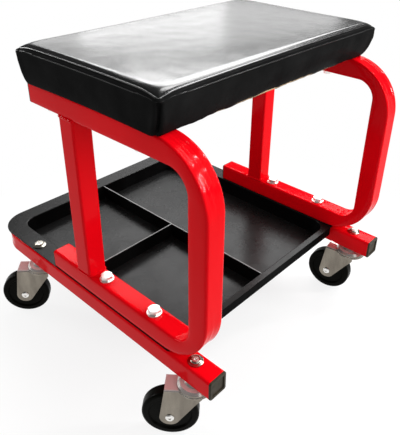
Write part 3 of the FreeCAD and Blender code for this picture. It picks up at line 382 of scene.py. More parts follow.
def section_points(half, corner):
    """A rounded square as (across, deep) points. The outer face is at the far end of deep."""
    points = []
    starts = ((1, 1), (1, -1), (-1, -1), (-1, 1))
    for index, (side, level) in enumerate(starts):
        centre = Vector((side * (half - corner), level * (half - corner)))
        before, after = Vector((0, level)), Vector((side, 0))
        if index % 2:
            before, after = after, before
        for step in range(CORNER_STEPS + 1):
            angle = math.pi / 2 * step / CORNER_STEPS
            points.append(centre + (before * math.cos(angle) + after * math.sin(angle)) * corner)
        following = (index + 1) % 4
        target = Vector(starts[following]) * (half - corner) + after * corner
        start = points[-1]
        steps = FACE_STEPS[following]
        for step in range(1, steps):
            points.append(start.lerp(target, step / steps))
    return points


def waves(rows, flat, run, seed):
    return sum(
        size * noise.noise(Vector((flat * across, run * along, seed + offset)))
        for size, across, along, offset in rows)


def crush(across, deep, share, run, seed):
    """How far a skin point moves across and deep where the tube is bent."""
    flat = across / TUBE_HALF
    level = deep / TUBE_HALF
    fade = 1 - flat * flat
    if level > FACE_LEVEL:
        dish = fade ** SINK_POWER if abs(flat) < 1 else 0
        streak = sum(size * math.sin(rate * flat + turn * seed) for rate, size, turn in STREAKS)
        return 0.0, -share * (SINK * dish + fade * (RIPPLE * streak + waves(OUTER_WAVES, flat, run, seed)))
    if level < -FACE_LEVEL:
        return 0.0, share * fade * (SWELL + waves(INNER_WAVES, flat, run, seed))
    return math.copysign(share * BULGE * (1 - level * level), across), 0.0


def path_stations(corners, inner_corners, outer_radius, inner_radius):
    """Pairs of outer and inner points along a tube, each with whether it lies in a bend."""
    stations = []
    for index in range(1, len(corners) - 1):
        sharp = corners[index]
        inner_sharp = inner_corners[index]
        back = (corners[index - 1] - sharp).normalized()
        ahead = (corners[index + 1] - sharp).normalized()
        centre = sharp + (back + ahead) * outer_radius
        inner_centre = inner_sharp + (back + ahead) * inner_radius
        for step in range(BEND_STEPS + 1):
            angle = math.pi / 2 * step / BEND_STEPS
            spoke = -ahead * math.cos(angle) - back * math.sin(angle)
            stations.append((centre + spoke * outer_radius, inner_centre + spoke * inner_radius, True))
    return [(corners[0], inner_corners[0], False), *stations, (corners[-1], inner_corners[-1], False)]


def tube_rings(stations, inset, width_centre, to_space, seed):
    """Rings of points: the skin of the tube, or with an inset its bore, which keeps a plain section."""
    rings = []
    half = TUBE_HALF - inset
    outline = section_points(half, TUBE_CORNER - inset)
    run = 0.0
    middles = [(outer + inner) / 2 for outer, inner, bent in stations]
    bends = [index for index, station in enumerate(stations) if station[2]]
    for index, (outer, inner, bent) in enumerate(stations):
        if index:
            run += (middles[index] - middles[index - 1]).length
        deep = outer - inner
        unit = deep.normalized()
        reach = deep.length / 2 - inset
        share = bend_share(index, stations, middles, bends)
        ring = []
        for across, level in outline:
            shift, sink = (0.0, 0.0) if inset else crush(across, level, share, run, seed)
            place = middles[index] + unit * (level / half * reach + sink)
            ring.append(to_space(width_centre + across + shift, place))
        rings.append(ring)
    return rings


def bend_share(index, stations, middles, bends):
    """1 in the middle of a bend, running out to 0 just past its ends."""
    if not stations[index][2]:
        nearest = min((middles[index] - middles[other]).length for other in bends)
        return 1 - float(ramp(nearest / CRUSH_RUN_OUT))
    step = bends.index(index) % (BEND_STEPS + 1)
    edge = min(step, BEND_STEPS - step) / BEND_STEPS
    return END_CRUSH + (1 - END_CRUSH) * float(ramp(edge / CRUSH_EASE))


def with_straights(stations):
    """Adds stations along the straight runs."""
    full = []
    for here, there in zip(stations, stations[1:]):
        full.append(here)
        gap = (there[0] - here[0]).length
        if here[2] and there[2] and gap < STRAIGHT_STEP:
            continue
        steps = max(int(gap / STRAIGHT_STEP), 2)
        for step in range(1, steps):
            share = step / steps
            full.append((here[0].lerp(there[0], share), here[1].lerp(there[1], share), False))
    full.append(stations[-1])
    return full


def u_corners(mouth, back, low, high, inset):
    """The corners of a U as (deep, wide) pairs, moved in by an inset."""
    back += math.copysign(inset, mouth - back)
    low, high = low + inset, high - inset
    return [Vector(pair) for pair in ((mouth, low), (back, low), (back, high), (mouth, high))]


def hollow_tube(name, node, shape, bends, width_centre, to_space, seed):
    """A tube bent to a U, with its bore, in place of a node. The shape is mouth, back, low and high."""
    stations = with_straights(path_stations(u_corners(*shape, 0), u_corners(*shape, TUBE), *bends))
    skin = tube_rings(stations, 0, width_centre, to_space, seed)
    bore = tube_rings(stations, TUBE_WALL, width_centre, to_space, seed)
    count, around = len(skin), len(skin[0])
    points = [point for ring in skin + bore for point in ring]
    faces = ring_faces(count, around) + ring_faces(count, around, first=count * around)
    for index in (0, count - 1):
        faces += band_faces(index * around, (count + index) * around, around)
    piece = new_piece(name, points, faces, MATERIALS["red_paint"])
    piece.data.set_sharp_from_angle(angle=math.radians(SHARP_EDGE))
    show(piece, replaces=(node,))


def side_tubes():
    for side, sign in SIDES.items():
        low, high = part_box("side_tube_" + side)
        hollow_tube(
            "tube_side_" + side, "side_tube_" + side, (high.y, low.y, low.z, high.z), SIDE_BENDS,
            (low.x + high.x) / 2, lambda across, place: (across, place.x, place.y), seed=1.3 + sign)


def base_tube():
    low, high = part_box("base_frame")
    hollow_tube(
        "tube_base", "base_frame", (low.y, high.y, low.x, high.x), BASE_BENDS,
        (low.z + high.z) / 2, lambda across, place: (place.y, place.x, across), seed=4.1)


# weld beads at both ends of each upright

BEAD_RADIUS = 1.9 * MM
BEAD_PITCH = 2.6 * MM
BEAD_RIPPLE = 0.22  # share of the radius that each ripple loses
BEAD_SIDES = 10
BEAD_STEP = 0.7 * MM
BEAD_SINK = 0.3 * MM  # how far inside the tube's faces its middle line runs
BEAD_ROUGH = 0.18  # share of the radius by which it is uneven
ROUGH_RATES = Vector((300, 300, 100))


def bead_path(centre, level):
    """A square path with rounded corners round a tube's end."""
    straight = TUBE_HALF - BEAD_SINK - TUBE_CORNER
    points = []
    for index in range(4):
        turn = Matrix.Rotation(math.pi / 2 * index, 2)
        for step in range(CORNER_STEPS + 1):
            swing = math.pi / 2 * step / CORNER_STEPS
            swung = Vector((math.cos(swing), math.sin(swing))) * TUBE_CORNER
            points.append(turn @ (Vector((straight, straight)) + swung))
    dense = []
    for here, there in zip(points, points[1:] + points[:1]):
        steps = max(int((there - here).length / BEAD_STEP), 1)
        dense += [here.lerp(there, step / steps) for step in range(steps)]
    return [Vector((centre.x + spot.x, centre.y + spot.y, level)) for spot in dense]


def weld_bead(name, centre, level):
    """A closed rope of overlapping weld ripples."""
    path = bead_path(centre, level)
    points = []
    run = 0.0
    count = len(path)
    for index, spot in enumerate(path):
        ahead = path[(index + 1) % count] - path[index - 1]
        run += ahead.length / 2
        out = Vector((ahead.y, -ahead.x, 0)).normalized()
        phase = run / BEAD_PITCH % 1
        uneven = noise.noise(spot * ROUGH_RATES)
        radius = BEAD_RADIUS * (1 - BEAD_RIPPLE * phase + BEAD_ROUGH * uneven)
        points += ring_points(spot, out * radius, Vector((0, 0, radius)), BEAD_SIDES)
    faces = ring_faces(count, BEAD_SIDES, closed=True)
    show(new_piece(name, points, faces, MATERIALS["red_paint"]))


def weld_beads():
    for side in SIDES:
        low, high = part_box("upright_" + side)
        centre = (low + high) / 2
        weld_bead(f"weld_foot_{side}", centre, low.z)
        weld_bead(f"weld_head_{side}", centre, high.z)


# padded seat cover: one top panel, four side panels and a hem under the board

SEAM_DEPTH = 2.8 * MM  # top of the cushion down to the seam
SEAM_DIP = 3.7 * MM  # how far the seam drops at its corners
DIP_REACH = 15 * MM
COVER_DRAWS = (10 * MM, 7 * MM, 5 * MM, 3.5 * MM)  # how far front, right, back and left draw in at the foot
SIDE_PULL = 2.4 * MM  # how far a side pulls in between its corners
HEM_WIDTH = 29 * MM
HEM_LIFT = 0.1 * MM
SEAM_CORNER = 2.5 * MM
CHEEK_CORNER = 2 * MM  # added to the corner radius half way down a side
FOOT_CORNER = 6 * MM  # added to it at the foot
SEAM_DRAW = (2.5 * MM, 4.5 * MM, 5 * MM, 4 * MM)  # at its corners, from the front left one anticlockwise
ROLL_START = 0.88  # share of the side's height where it turns in to the seam
SIDE_HEIGHTS = (0, 0.1, 0.32, 0.62, 0.86, 1)  # shares of the side's height
SIDE_DRAWS = (1, 0.66, 0.28, 0.02, 0.02, 0)  # shares of the draw there
ROLL_WIDTH = 12 * MM  # the top panel's rounded edge
ROLL_NARROWS = 0.6  # share of that width lost towards the far corners
ROLL_POWER = 1.7
ROLL_SHARE = 0.94  # of the height between the seam and the crown
CROWN_REACH = 74 * MM
CROWN_RISE = 3.4 * MM
CROWN_MITRE = 6  # power of the blend at the corners' diagonals

# cloth
CLOTH_CELL = 6 * MM
CLOTH_EDGE_CELLS = (2.0, 3.5)  # mm, beside a seam
CLOTH_ROWS = 9
CLOTH_FRAMES = 20
CLOTH_START = 0.6 * MM  # how far the sides stand in before the pressure
CLOTH = {
    "quality": 6,
    "mass": 0.25,
    "tension_stiffness": 30,
    "compression_stiffness": 30,
    "shear_stiffness": 10,
    "bending_stiffness": 2.0,
    "use_pressure": True,
    "uniform_pressure_force": 1.2,
    "vertex_group_mass": "pins",
}
MOST_MOVE = 4.5 * MM
TOP_PASSES = 8
TOP_SHARE = 0.35  # of the cloth's movement that the stretched top panel keeps
SIDE_PASSES = 2

# finished mesh
FINE_CELL = 3.2 * MM
FINE_EDGE_CELLS = (0.45, 0.5, 0.6, 0.7, 0.8, 1.0, 1.3, 1.8, 2.4)  # mm, beside a seam
FINE_DROPS = (  # rows below the seam, as parts of the last
    0, 0.3, 0.6, 0.9, 1.3, 1.8, 2.4, 3.0, 3.6, 4.1, 4.5, 4.9, 5.3, 5.8, 6.3, 6.8, 7.4, 8.2, 9.5, 11.5,
    14, 17, 20, 23, 26, 29, 32, 34.5, 36, 37)
HEM_ROWS = 6
MERGE_GRID = 2e5  # steps per metre to which points are rounded to find shared ones
TINY = 1e-12  # keeps a division by nothing from failing


def spline_weights(knots, wanted):
    """Weights that carry values at the knots over to other places on a natural cubic spline."""
    count = len(knots)
    gap = np.diff(knots)
    left, right = np.zeros((count, count)), np.zeros((count, count))
    left[0, 0] = left[-1, -1] = 1
    for row in range(1, count - 1):
        before, after = gap[row - 1], gap[row]
        left[row, row - 1:row + 2] = before, 2 * (before + after), after
        right[row, row - 1:row + 2] = 6 / before, -6 / before - 6 / after, 6 / after
    bend = np.linalg.solve(left, right)
    cell = np.clip(np.searchsorted(knots, wanted) - 1, 0, count - 2)
    width = gap[cell]
    near = (knots[cell + 1] - wanted) / width
    far = 1 - near
    weights = ((near ** 3 - near) * width ** 2 / 6)[:, None] * bend[cell]
    weights += ((far ** 3 - far) * width ** 2 / 6)[:, None] * bend[cell + 1]
    rows = np.arange(len(wanted))
    weights[rows, cell] += near
    weights[rows, cell + 1] += far
    return weights


class Seat:
    """The cushion's sizes, from its CAD box, and the cover's panels as grids of points."""

    def __init__(self):
        low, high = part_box("seat_cushion")
        self.middle = (low + high) / 2
        self.bottom = low.z
        self.height = high.z - SEAM_DEPTH - low.z
        self.halves = ((high.x - low.x) / 2, (high.y - low.y) / 2)

    def side_length(self, side):
        return 2 * (self.halves[side % 2] - SEAM_CORNER) + SEAM_CORNER * math.pi / 2

    def shares(self, side, edge_cells, cell):
        """Places along a side from one corner seam to the next, closer together beside the seams."""
        length = self.side_length(side)
        ends = [0.0]
        for width in edge_cells:
            ends.append(ends[-1] + width * MM)
        middle = length - 2 * ends[-1]
        steps = round(middle / cell)
        inner = [ends[-1] + middle * step / steps for step in range(1, steps)]
        return np.array(ends + inner + [length - end for end in reversed(ends)]) / length

    def from_ends(self, side, shares):
        return np.minimum(shares, 1 - shares) * self.side_length(side)

    def places(self, side, shares, drops):
        """How far the points of a side are from the nearer of its corners, and below the seam."""
        return self.from_ends(side, shares)[:, None], (drops * self.height)[None, :]

    def dip(self, x, y):
        """How far the seam is pulled down at a place in plan."""
        distance = np.hypot(self.halves[0] - abs(x - self.middle.x), self.halves[1] - abs(y - self.middle.y))
        return SEAM_DIP * hump(distance, DIP_REACH)

    def outline_point(self, side, share, insets, corner):
        """A point of the outline in plan, with each of the four sides drawn in by its inset."""
        start = insets[side - 1] - self.halves[side % 2]
        stop = self.halves[side % 2] - insets[(side + 1) % 4]
        half_across = self.halves[1 - side % 2] - insets[side]
        quarter = corner * math.pi / 4
        straight = (stop - start) / 2 - corner
        length = 2 * (straight + quarter)
        run = share * length
        from_end = min(run, length - run)
        if from_end < quarter:
            angle = math.pi / 4 - from_end / corner
            along = straight + corner * math.sin(angle)
            out = half_across - corner + corner * math.cos(angle)
            along = -along if run < length / 2 else along
        else:
            along = run - quarter - straight
            out = half_across - SIDE_PULL * (1 - (along / straight) ** 2)
        spot = Matrix.Rotation(math.pi / 2 * side, 2) @ Vector(((start + stop) / 2 + along, -out))
        return spot.x + self.middle.x, spot.y + self.middle.y

    def side_patch(self, side, shares, drops):
        """A side panel as a grid: from corner seam to corner seam, and from the top seam down."""
        grid = np.empty((len(shares), len(drops), 3))
        for row, drop in enumerate(drops):
            height = 1 - drop
            belly = math.sin(math.pi * drop)
            drawn = float(np.interp(height, SIDE_HEIGHTS, SIDE_DRAWS))
            corner = SEAM_CORNER + CHEEK_CORNER * belly + FOOT_CORNER * drop * drop
            turned = min(max((height - ROLL_START) / (1 - ROLL_START), 0), 1)
            turn_in = 1 - math.sqrt(1 - turned * turned)
            for column, share in enumerate(shares):
                seam = SEAM_DRAW[side] * (1 - share) + SEAM_DRAW[(side + 1) % 4] * share
                insets = [draw * drawn + CLOTH_START * belly + seam * turn_in for draw in COVER_DRAWS]
                x, y = self.outline_point(side, share, insets, corner)
                grid[column, row] = x, y, self.bottom + self.height * height - self.dip(x, y) * height ** 3
        return grid

    def hem_patch(self, side, shares, border):
        """The hem below one side, from its lower edge inwards."""
        grid = np.empty((len(shares), HEM_ROWS + 1, 3))
        grid[:, 0] = border
        for row in range(1, HEM_ROWS + 1):
            insets = [draw + HEM_WIDTH * row / HEM_ROWS for draw in COVER_DRAWS]
            for column, share in enumerate(shares):
                x, y = self.outline_point(side, share, insets, SEAM_CORNER + FOOT_CORNER)
                grid[column, row] = x, y, self.bottom + HEM_LIFT
        return grid

    def top_patch(self, sides, shares):
        """The top panel between the upper edges of the sides, crowned towards its middle."""
        front, right, back, left = sides[0][:, 0], sides[1][:, 0], sides[2][::-1, 0], sides[3][::-1, 0]
        s, t = shares[0][:, None, None], shares[1][None, :, None]
        edges = front[:, None] * (1 - t) + back[:, None] * t + left[None] * (1 - s) + right[None] * s
        corners = (front[0] * (1 - s) * (1 - t) + front[-1] * s * (1 - t)
                   + back[0] * (1 - s) * t + back[-1] * s * t)
        grid = edges - corners
        rise = []
        for side in (0, 1):
            away = self.from_ends(side, shares[side])[:, None]
            width = ROLL_WIDTH * (1 - ROLL_NARROWS * shares[1 - side][None, :])
            roll = 1 - (1 - np.minimum(away / width, 1)) ** ROLL_POWER
            dome = np.sin(np.minimum(away / CROWN_REACH, 1) * math.pi / 2)
            rise.append(ROLL_SHARE * roll + (1 - ROLL_SHARE) * dome)
        one, other = rise[0], rise[1].T
        blend = ((one ** CROWN_MITRE + other ** CROWN_MITRE) / 2) ** (1 / CROWN_MITRE)
        mitred = one * other / np.maximum(blend, TINY)
        seam = self.bottom + self.height - self.dip(grid[:, :, 0], grid[:, :, 1])
        grid[:, :, 2] = seam + CROWN_RISE * mitred
        return grid


def joined(patches):
    """One mesh from grids that share their borders: points, faces of each grid and each grid's numbering."""
    points, faces, numbers, seen = [], [], [], {}
    for patch in patches:
        number = np.empty(patch.shape[:2], int)
        for place in np.ndindex(number.shape):
            key = tuple(np.round(patch[place] * MERGE_GRID).astype(int))
            if key not in seen:
                seen[key] = len(points)
                points.append(tuple(patch[place]))
            number[place] = seen[key]
        numbers.append(number)
        faces.append([
            (number[i, j], number[i + 1, j], number[i + 1, j + 1], number[i, j + 1])
            for i in range(number.shape[0] - 1) for j in range(number.shape[1] - 1)])
    return points, faces, numbers


def cover_piece(name, points, groups):
    return new_piece(name, points, [face for group in groups for face in group], MATERIALS["black_vinyl"])


def settle(patches):
    """Cloth under pressure, sewn down at its seams. Gives how far each point of the patches moves."""
    points, faces, numbers = joined(patches)
    piece = cover_piece("cover_cloth", points, faces)
    pinned = set()
    for number in numbers[:4]:
        pinned |= set(number[:, 0]) | set(number[:, -1]) | set(number[0]) | set(number[-1])
    pins = piece.vertex_groups.new(name=CLOTH["vertex_group_mass"])
    pins.add([int(number) for number in pinned], 1.0, "REPLACE")
    modifier = piece.modifiers.new("cloth", "CLOTH")
    for setting, value in CLOTH.items():
        setattr(modifier.settings, setting, value)
    modifier.settings.effector_weights.gravity = 0
    modifier.collision_settings.use_collision = False
    modifier.collision_settings.use_self_collision = False
    modifier.point_cache.frame_start = 1
    modifier.point_cache.frame_end = CLOTH_FRAMES
    scene = bpy.context.scene
    for number in range(1, CLOTH_FRAMES + 1):
        scene.frame_set(number)
    evaluated = piece.evaluated_get(bpy.context.evaluated_depsgraph_get())
    rest = np.array([vertex.co for vertex in evaluated.data.vertices])
    scene.frame_set(1)
    bpy.data.objects.remove(piece)
    move = rest - np.array(points)
    size = np.linalg.norm(move, axis=1, keepdims=True)
    move *= np.tanh(size / MOST_MOVE) * MOST_MOVE / np.maximum(size, TINY)
    return [move[number] for number in numbers]


def evened(grid, passes):
    """Averages the inner points of a grid with their neighbours, so that no cloth cell shows."""
    for _ in range(passes):
        around = grid[:-2, 1:-1] + grid[2:, 1:-1] + grid[1:-1, :-2] + grid[1:-1, 2:]
        grid[1:-1, 1:-1] = grid[1:-1, 1:-1] / 2 + around / 8
    return grid


def unit_rows(vectors):
    return vectors / np.maximum(np.linalg.norm(vectors, axis=2, keepdims=True), TINY)


# relief of the sides; a drop is measured down from the seam, an end along a side from its corner
SEAM_HOLD = 0.4 * MM  # drop over which all of it starts
SEAM_GROOVE = 0.5 * MM
SEAM_GROOVE_DROP = 0.6 * MM
SEAM_GROOVE_WIDTH = 0.4 * MM
BAND_HEIGHT = 0.3 * MM  # the folded band below the seam
BAND_START = 0.9 * MM  # drop over which it rises
BAND_END = 2.2 * MM  # drop where it starts to fall
BAND_FALL = 0.8 * MM
GROOVE_DROP = 3.1 * MM
GROOVE_DEPTH = 0.6 * MM
GROOVE_WIDTH = 0.6 * MM
RIDGE_DROP = 4.3 * MM
RIDGE_HEIGHT = 0.5 * MM
RIDGE_WIDTH = 1.0 * MM
LEFT_RIDGE = 0.35  # share of the ridge's height on the left side
RIDGE_SHINE = 0.5 * MM  # half the width of the glossier line along the ridge, whose own vinyl makes it catch a highlight
BAND_NARROWS = 0.5  # share of the band's width that it loses at the corners
BAND_RUN = 45 * MM
CHEEK = 0.9 * MM  # full beside each corner
CHEEK_END = 5 * MM
CHEEK_WIDTH = 4 * MM
UNEVEN = 0.8 * MM
UNEVEN_LENGTH = 35 * MM
CORNER_EASE = 2.5 * MM  # end over which outwards turns to the corner's diagonal
SLIT_DEPTH = 4.6 * MM
SLITS = (1, 0.45, 0.45, 0.12)  # how open the slit is, from the front left corner anticlockwise
SLIT_WIDTH = 1.5 * MM
SLIT_EYE = 1.0 * MM
SLIT_EYE_DROP = 6 * MM
SLIT_EYE_WIDTH = 4 * MM
SLIT_START = 1.2 * MM  # drop where it starts to open
SLIT_OPENS = 3.5 * MM
SLIT_FADE = 0.55  # share of its depth that it loses lower down
SLIT_FADE_START = 26 * MM
SLIT_FADE_RUN = 11 * MM
WAVE = 1.5 * MM  # of the lower edge, away from the rails
WAVES = ((1, 26 * MM, 8), (0.4, 9 * MM, 5))  # share, length and noise seed
WAVE_POWER = 4  # of the drop's share of the height
RAIL_REACH = 34 * MM
RAIL_RUN = 14 * MM

# relief of the top panel; a distance is measured in from the seam
TOP_GROOVE = 0.35 * MM
TOP_GROOVE_PLACE = 1.7 * MM
TOP_GROOVE_WIDTH = 0.8 * MM
CREASE = 0.10 * MM
CREASES = ((1, 21 * MM, 1), (0.5, 9 * MM, 2))  # share, length and noise seed
CREASE_START = 14 * MM  # distance over which the creases grow


def wavy(points, length, seed):
    """Smooth noise at each point of a grid."""
    flat = points.reshape(-1, 3)
    values = [noise.noise(Vector(point) / length + Vector((seed, seed, seed))) for point in flat]
    return np.array(values).reshape(points.shape[:-1])


def plan_waves(grid, rows):
    """Waves of several lengths that are the same at every height."""
    plan = grid * np.array((1, 1, 0))
    return sum(share * wavy(plan, length, seed) for share, length, seed in rows)


def band_drop(end, down):
    """How far points are below the seam in terms of the band, which narrows to the corners."""
    return down / (1 - BAND_NARROWS * (1 - ramp(end / BAND_RUN)))


def detail_side(seat, side, grid, shares, drops):
    """Seam groove and ridge, the slit at each corner, and the uneven lower edge."""
    end, down = seat.places(side, shares, drops)
    outwards = unit_rows(np.cross(np.gradient(grid, axis=1), np.gradient(grid, axis=0)))
    corner = np.sign(grid[:, :, :2] - np.array(seat.middle.xy)) * math.sqrt(0.5)
    corner = np.concatenate([corner, np.zeros(corner.shape[:2] + (1,))], axis=2)
    near = np.exp(-end / CORNER_EASE)[:, :, None]
    outwards = unit_rows(outwards * (1 - near) + corner * near)
    below = band_drop(end, down)
    belly = np.sin(math.pi * drops)[None, :]
    ridge = RIDGE_HEIGHT * (LEFT_RIDGE if side == 3 else 1)
    lift = BAND_HEIGHT * ramp(below / BAND_START) * (1 - ramp((below - BAND_END) / BAND_FALL))
    lift = lift - SEAM_GROOVE * hump(down - SEAM_GROOVE_DROP, SEAM_GROOVE_WIDTH)
    lift = lift - GROOVE_DEPTH * hump(below - GROOVE_DROP, GROOVE_WIDTH)
    lift = lift + ridge * hump(below - RIDGE_DROP, RIDGE_WIDTH)
    lift = lift + CHEEK * hump(end - CHEEK_END, CHEEK_WIDTH) * belly
    lift = lift + UNEVEN * wavy(grid, UNEVEN_LENGTH, 3) * belly
    lift = lift * ramp(down / SEAM_HOLD)
    slit = np.where(shares < 0.5, SLITS[side], SLITS[(side + 1) % 4])[:, None]
    width = (SLIT_WIDTH + SLIT_EYE * hump(down - SLIT_EYE_DROP, SLIT_EYE_WIDTH)) * slit ** 0.5
    opening = ramp((down - SLIT_START) / SLIT_OPENS)
    opening = opening * (1 - SLIT_FADE * ramp((down - SLIT_FADE_START) / SLIT_FADE_RUN))
    grid = grid + outwards * lift[:, :, None]
    grid = grid - corner * (SLIT_DEPTH * slit * hump(end, width) * opening)[:, :, None]
    off_rail = ramp((seat.halves[0] - RAIL_REACH - np.abs(grid[:, :, 0])) / RAIL_RUN)
    grid[:, :, 2] += WAVE * plan_waves(grid, WAVES) * off_rail * drops[None, :] ** WAVE_POWER
    return grid


def detail_top(seat, grid, shares):
    """The groove inside the seam and soft creases in the top panel."""
    near = np.minimum(seat.from_ends(0, shares[0])[:, None], seat.from_ends(1, shares[1])[None, :])
    groove = TOP_GROOVE * hump(near - TOP_GROOVE_PLACE, TOP_GROOVE_WIDTH) * ramp(near / TOP_GROOVE_WIDTH)
    grid[:, :, 2] += CREASE * plan_waves(grid, CREASES) * ramp(near / CREASE_START) - groove
    return grid


WELT_RADIUS = 0.8 * MM
FRONT_WELT = 0.6  # share of that radius along the front
FRONT_REACH = 4 * MM  # how far back the front's welt goes
WELT_SIDES = 12
WELT_SINK = 0.1 * MM  # inwards from the seam
WELT_LIFT = 0.1 * MM
STITCH_PITCH = 3.3 * MM
STITCH_LENGTH = 2.3 * MM
STITCH_RADIUS = 0.30 * MM
STITCH_SIDES = 6
STITCH_RINGS = ((0, 0.35), (0.2, 0.95), (0.5, 1.1), (0.8, 0.95), (1, 0.35))  # place and share of the radius
STITCH_BURIED = 0.5  # share of the radius that lies in the vinyl
STITCH_ROW = 4  # grid row of the top panel that the stitches follow
LEFT_BARE = 6 * MM  # the left seam's stitches are sunk and don't show


def seam_welt(sides):
    """A thin rolled edge along the seam round the top panel."""
    seam = np.concatenate([side[:-1, 0] for side in sides])
    points = []
    count = len(seam)
    for index, spot in enumerate(seam):
        ahead = seam[(index + 1) % count] - seam[index - 1]
        out = np.array((ahead[1], -ahead[0], 0))
        out /= np.linalg.norm(out)
        radius = WELT_RADIUS * (1 - (1 - FRONT_WELT) * max(-out[1], 0))
        points += ring_points(spot - out * WELT_SINK + UP * WELT_LIFT, out * radius, UP * radius, WELT_SIDES)
    piece = new_piece("seat_seam_edge", points, ring_faces(count, WELT_SIDES, closed=True), EDGE_VINYL)
    piece.data.materials.append(RIDGE_VINYL)
    front = min(seam[:, 1]) + FRONT_REACH
    for face in piece.data.polygons:
        face.material_index = 1 if face.center.y < front else 0
    show(piece)


def stitch_row(top):
    """Lockstitches just inside the seam."""
    row = STITCH_ROW
    path = np.concatenate([
        top[row:-row - 1, row], top[-row - 1, row:-row - 1],
        top[-row - 1:row:-1, -row - 1], top[row, -row - 1:row:-1]])
    path = np.concatenate([path, path[:1]])
    runs = np.concatenate([[0], np.cumsum(np.linalg.norm(np.diff(path, axis=0), axis=1))])

    def at(run):
        return np.array([np.interp(run % runs[-1], runs, path[:, axis]) for axis in range(3)])

    points, faces = [], []
    last_ring = (len(STITCH_RINGS) - 1) * STITCH_SIDES
    count = int(runs[-1] / STITCH_PITCH)
    left = min(path[:, 0]) + LEFT_BARE
    for stitch in range(count):
        begin = stitch * runs[-1] / count
        first, last = at(begin), at(begin + STITCH_LENGTH)
        if first[0] < left:
            continue
        ahead = (last - first) / np.linalg.norm(last - first)
        side = np.cross(ahead, UP)
        base = len(points)
        for share, size in STITCH_RINGS:
            centre = first + (last - first) * share + UP * STITCH_RADIUS * (size - STITCH_BURIED)
            radius = size * STITCH_RADIUS
            points += ring_points(centre, side * radius, UP * radius, STITCH_SIDES)
        faces += ring_faces(len(STITCH_RINGS), STITCH_SIDES, first=base)
        faces += [tuple(start + step for step in range(STITCH_SIDES)) for start in (base, base + last_ring)]
    show(new_piece("seat_stitches", points, faces, THREAD))


def spread(weights, moves, other_weights):
    """The coarse grid's movements carried over to the fine grid."""
    return np.einsum("ai,ijk,bj->abk", weights, moves, other_weights)


def seat_cover():
    """The cover with its welt and stitches, in place of the plain cushion."""
    seat = Seat()
    coarse = [seat.shares(side, CLOTH_EDGE_CELLS, CLOTH_CELL) for side in (0, 1)]
    coarse_drops = np.linspace(0, 1, CLOTH_ROWS + 1)
    patches = [seat.side_patch(side, coarse[side % 2], coarse_drops) for side in range(4)]
    patches.append(seat.top_patch(patches, coarse))
    moves = settle(patches)
    moves = [evened(move, SIDE_PASSES) for move in moves[:4]] + [evened(moves[4], TOP_PASSES) * TOP_SHARE]

    fine = [seat.shares(side, FINE_EDGE_CELLS, FINE_CELL) for side in (0, 1)]
    drops = np.array(FINE_DROPS) / FINE_DROPS[-1]
    along = [spline_weights(coarse[side], fine[side]) for side in (0, 1)]
    down = spline_weights(coarse_drops, drops)
    sides = [seat.side_patch(side, fine[side % 2], drops) for side in range(4)]
    top = seat.top_patch(sides, fine) + spread(along[0], moves[4], along[1])
    sides = [sides[side] + spread(along[side % 2], moves[side], down) for side in range(4)]
    sides = [detail_side(seat, side, sides[side], fine[side % 2], drops) for side in range(4)]
    top = detail_top(seat, top, fine)
    hems = [seat.hem_patch(side, fine[side % 2], sides[side][:, -1]) for side in range(4)]
    points, faces, _ = joined(sides + hems + [top])
    piece = cover_piece("seat_cover", points, faces)
    piece.data.materials.append(TOP_VINYL)
    piece.data.materials.append(RIDGE_VINYL)
    slots = []
    for side in range(4):
        below = band_drop(*seat.places(side, fine[side % 2], drops))[:-1, :-1]
        slots += list(np.where(np.abs(below - RIDGE_DROP) < RIDGE_SHINE, 2, 0).flat)
    slots += [0] * sum(len(group) for group in faces[4:8]) + [1] * len(faces[8])
    piece.data.polygons.foreach_set("material_index", [int(slot) for slot in slots])
    show(piece, replaces=("seat_cushion",))
    seam_welt(sides)
    stitch_row(top)


# camera, lamps and floor

CAMERA_PLACE = Vector((-461.42, -429.72, 553.51)) * MM
CAMERA_AZIMUTH = -137.95  # degrees, as are the next two
CAMERA_ELEVATION = 28.71
CAMERA_ROLL = 0.96
FOCAL_PIXELS = 536.4  # of the photograph, as are the next three
PHOTO_WIDTH = 400
PHOTO_HEIGHT = 435
CENTRE_PIXEL = (209.1, 177.7)
CLIP = (0.02, 50)


def direction(azimuth, elevation):
    """A unit vector from two angles in degrees. Azimuth is from +X, towards +Y."""
    azimuth, elevation = math.radians(azimuth), math.radians(elevation)
    flat = math.cos(elevation)
    return Vector((math.cos(azimuth) * flat, math.sin(azimuth) * flat, math.sin(elevation)))


def place_camera():
    """The camera that took the photograph."""
    back = direction(CAMERA_AZIMUTH, CAMERA_ELEVATION)
    right = Vector(UP).cross(back).normalized()
    roll = Matrix.Rotation(math.radians(CAMERA_ROLL), 3, "Z")
    turn = Matrix((right, back.cross(right), back)).transposed() @ roll
    data = bpy.data.cameras.new("camera")
    camera = new_object("camera", data)
    camera.matrix_world = Matrix.Translation(CAMERA_PLACE) @ turn.to_4x4()
    data.lens = FOCAL_PIXELS / PHOTO_HEIGHT * data.sensor_width
    data.shift_x = (PHOTO_WIDTH / 2 - CENTRE_PIXEL[0]) / PHOTO_HEIGHT
    data.shift_y = (CENTRE_PIXEL[1] - PHOTO_HEIGHT / 2) / PHOTO_HEIGHT
    data.clip_start, data.clip_end = CLIP
    bpy.context.scene.camera = camera


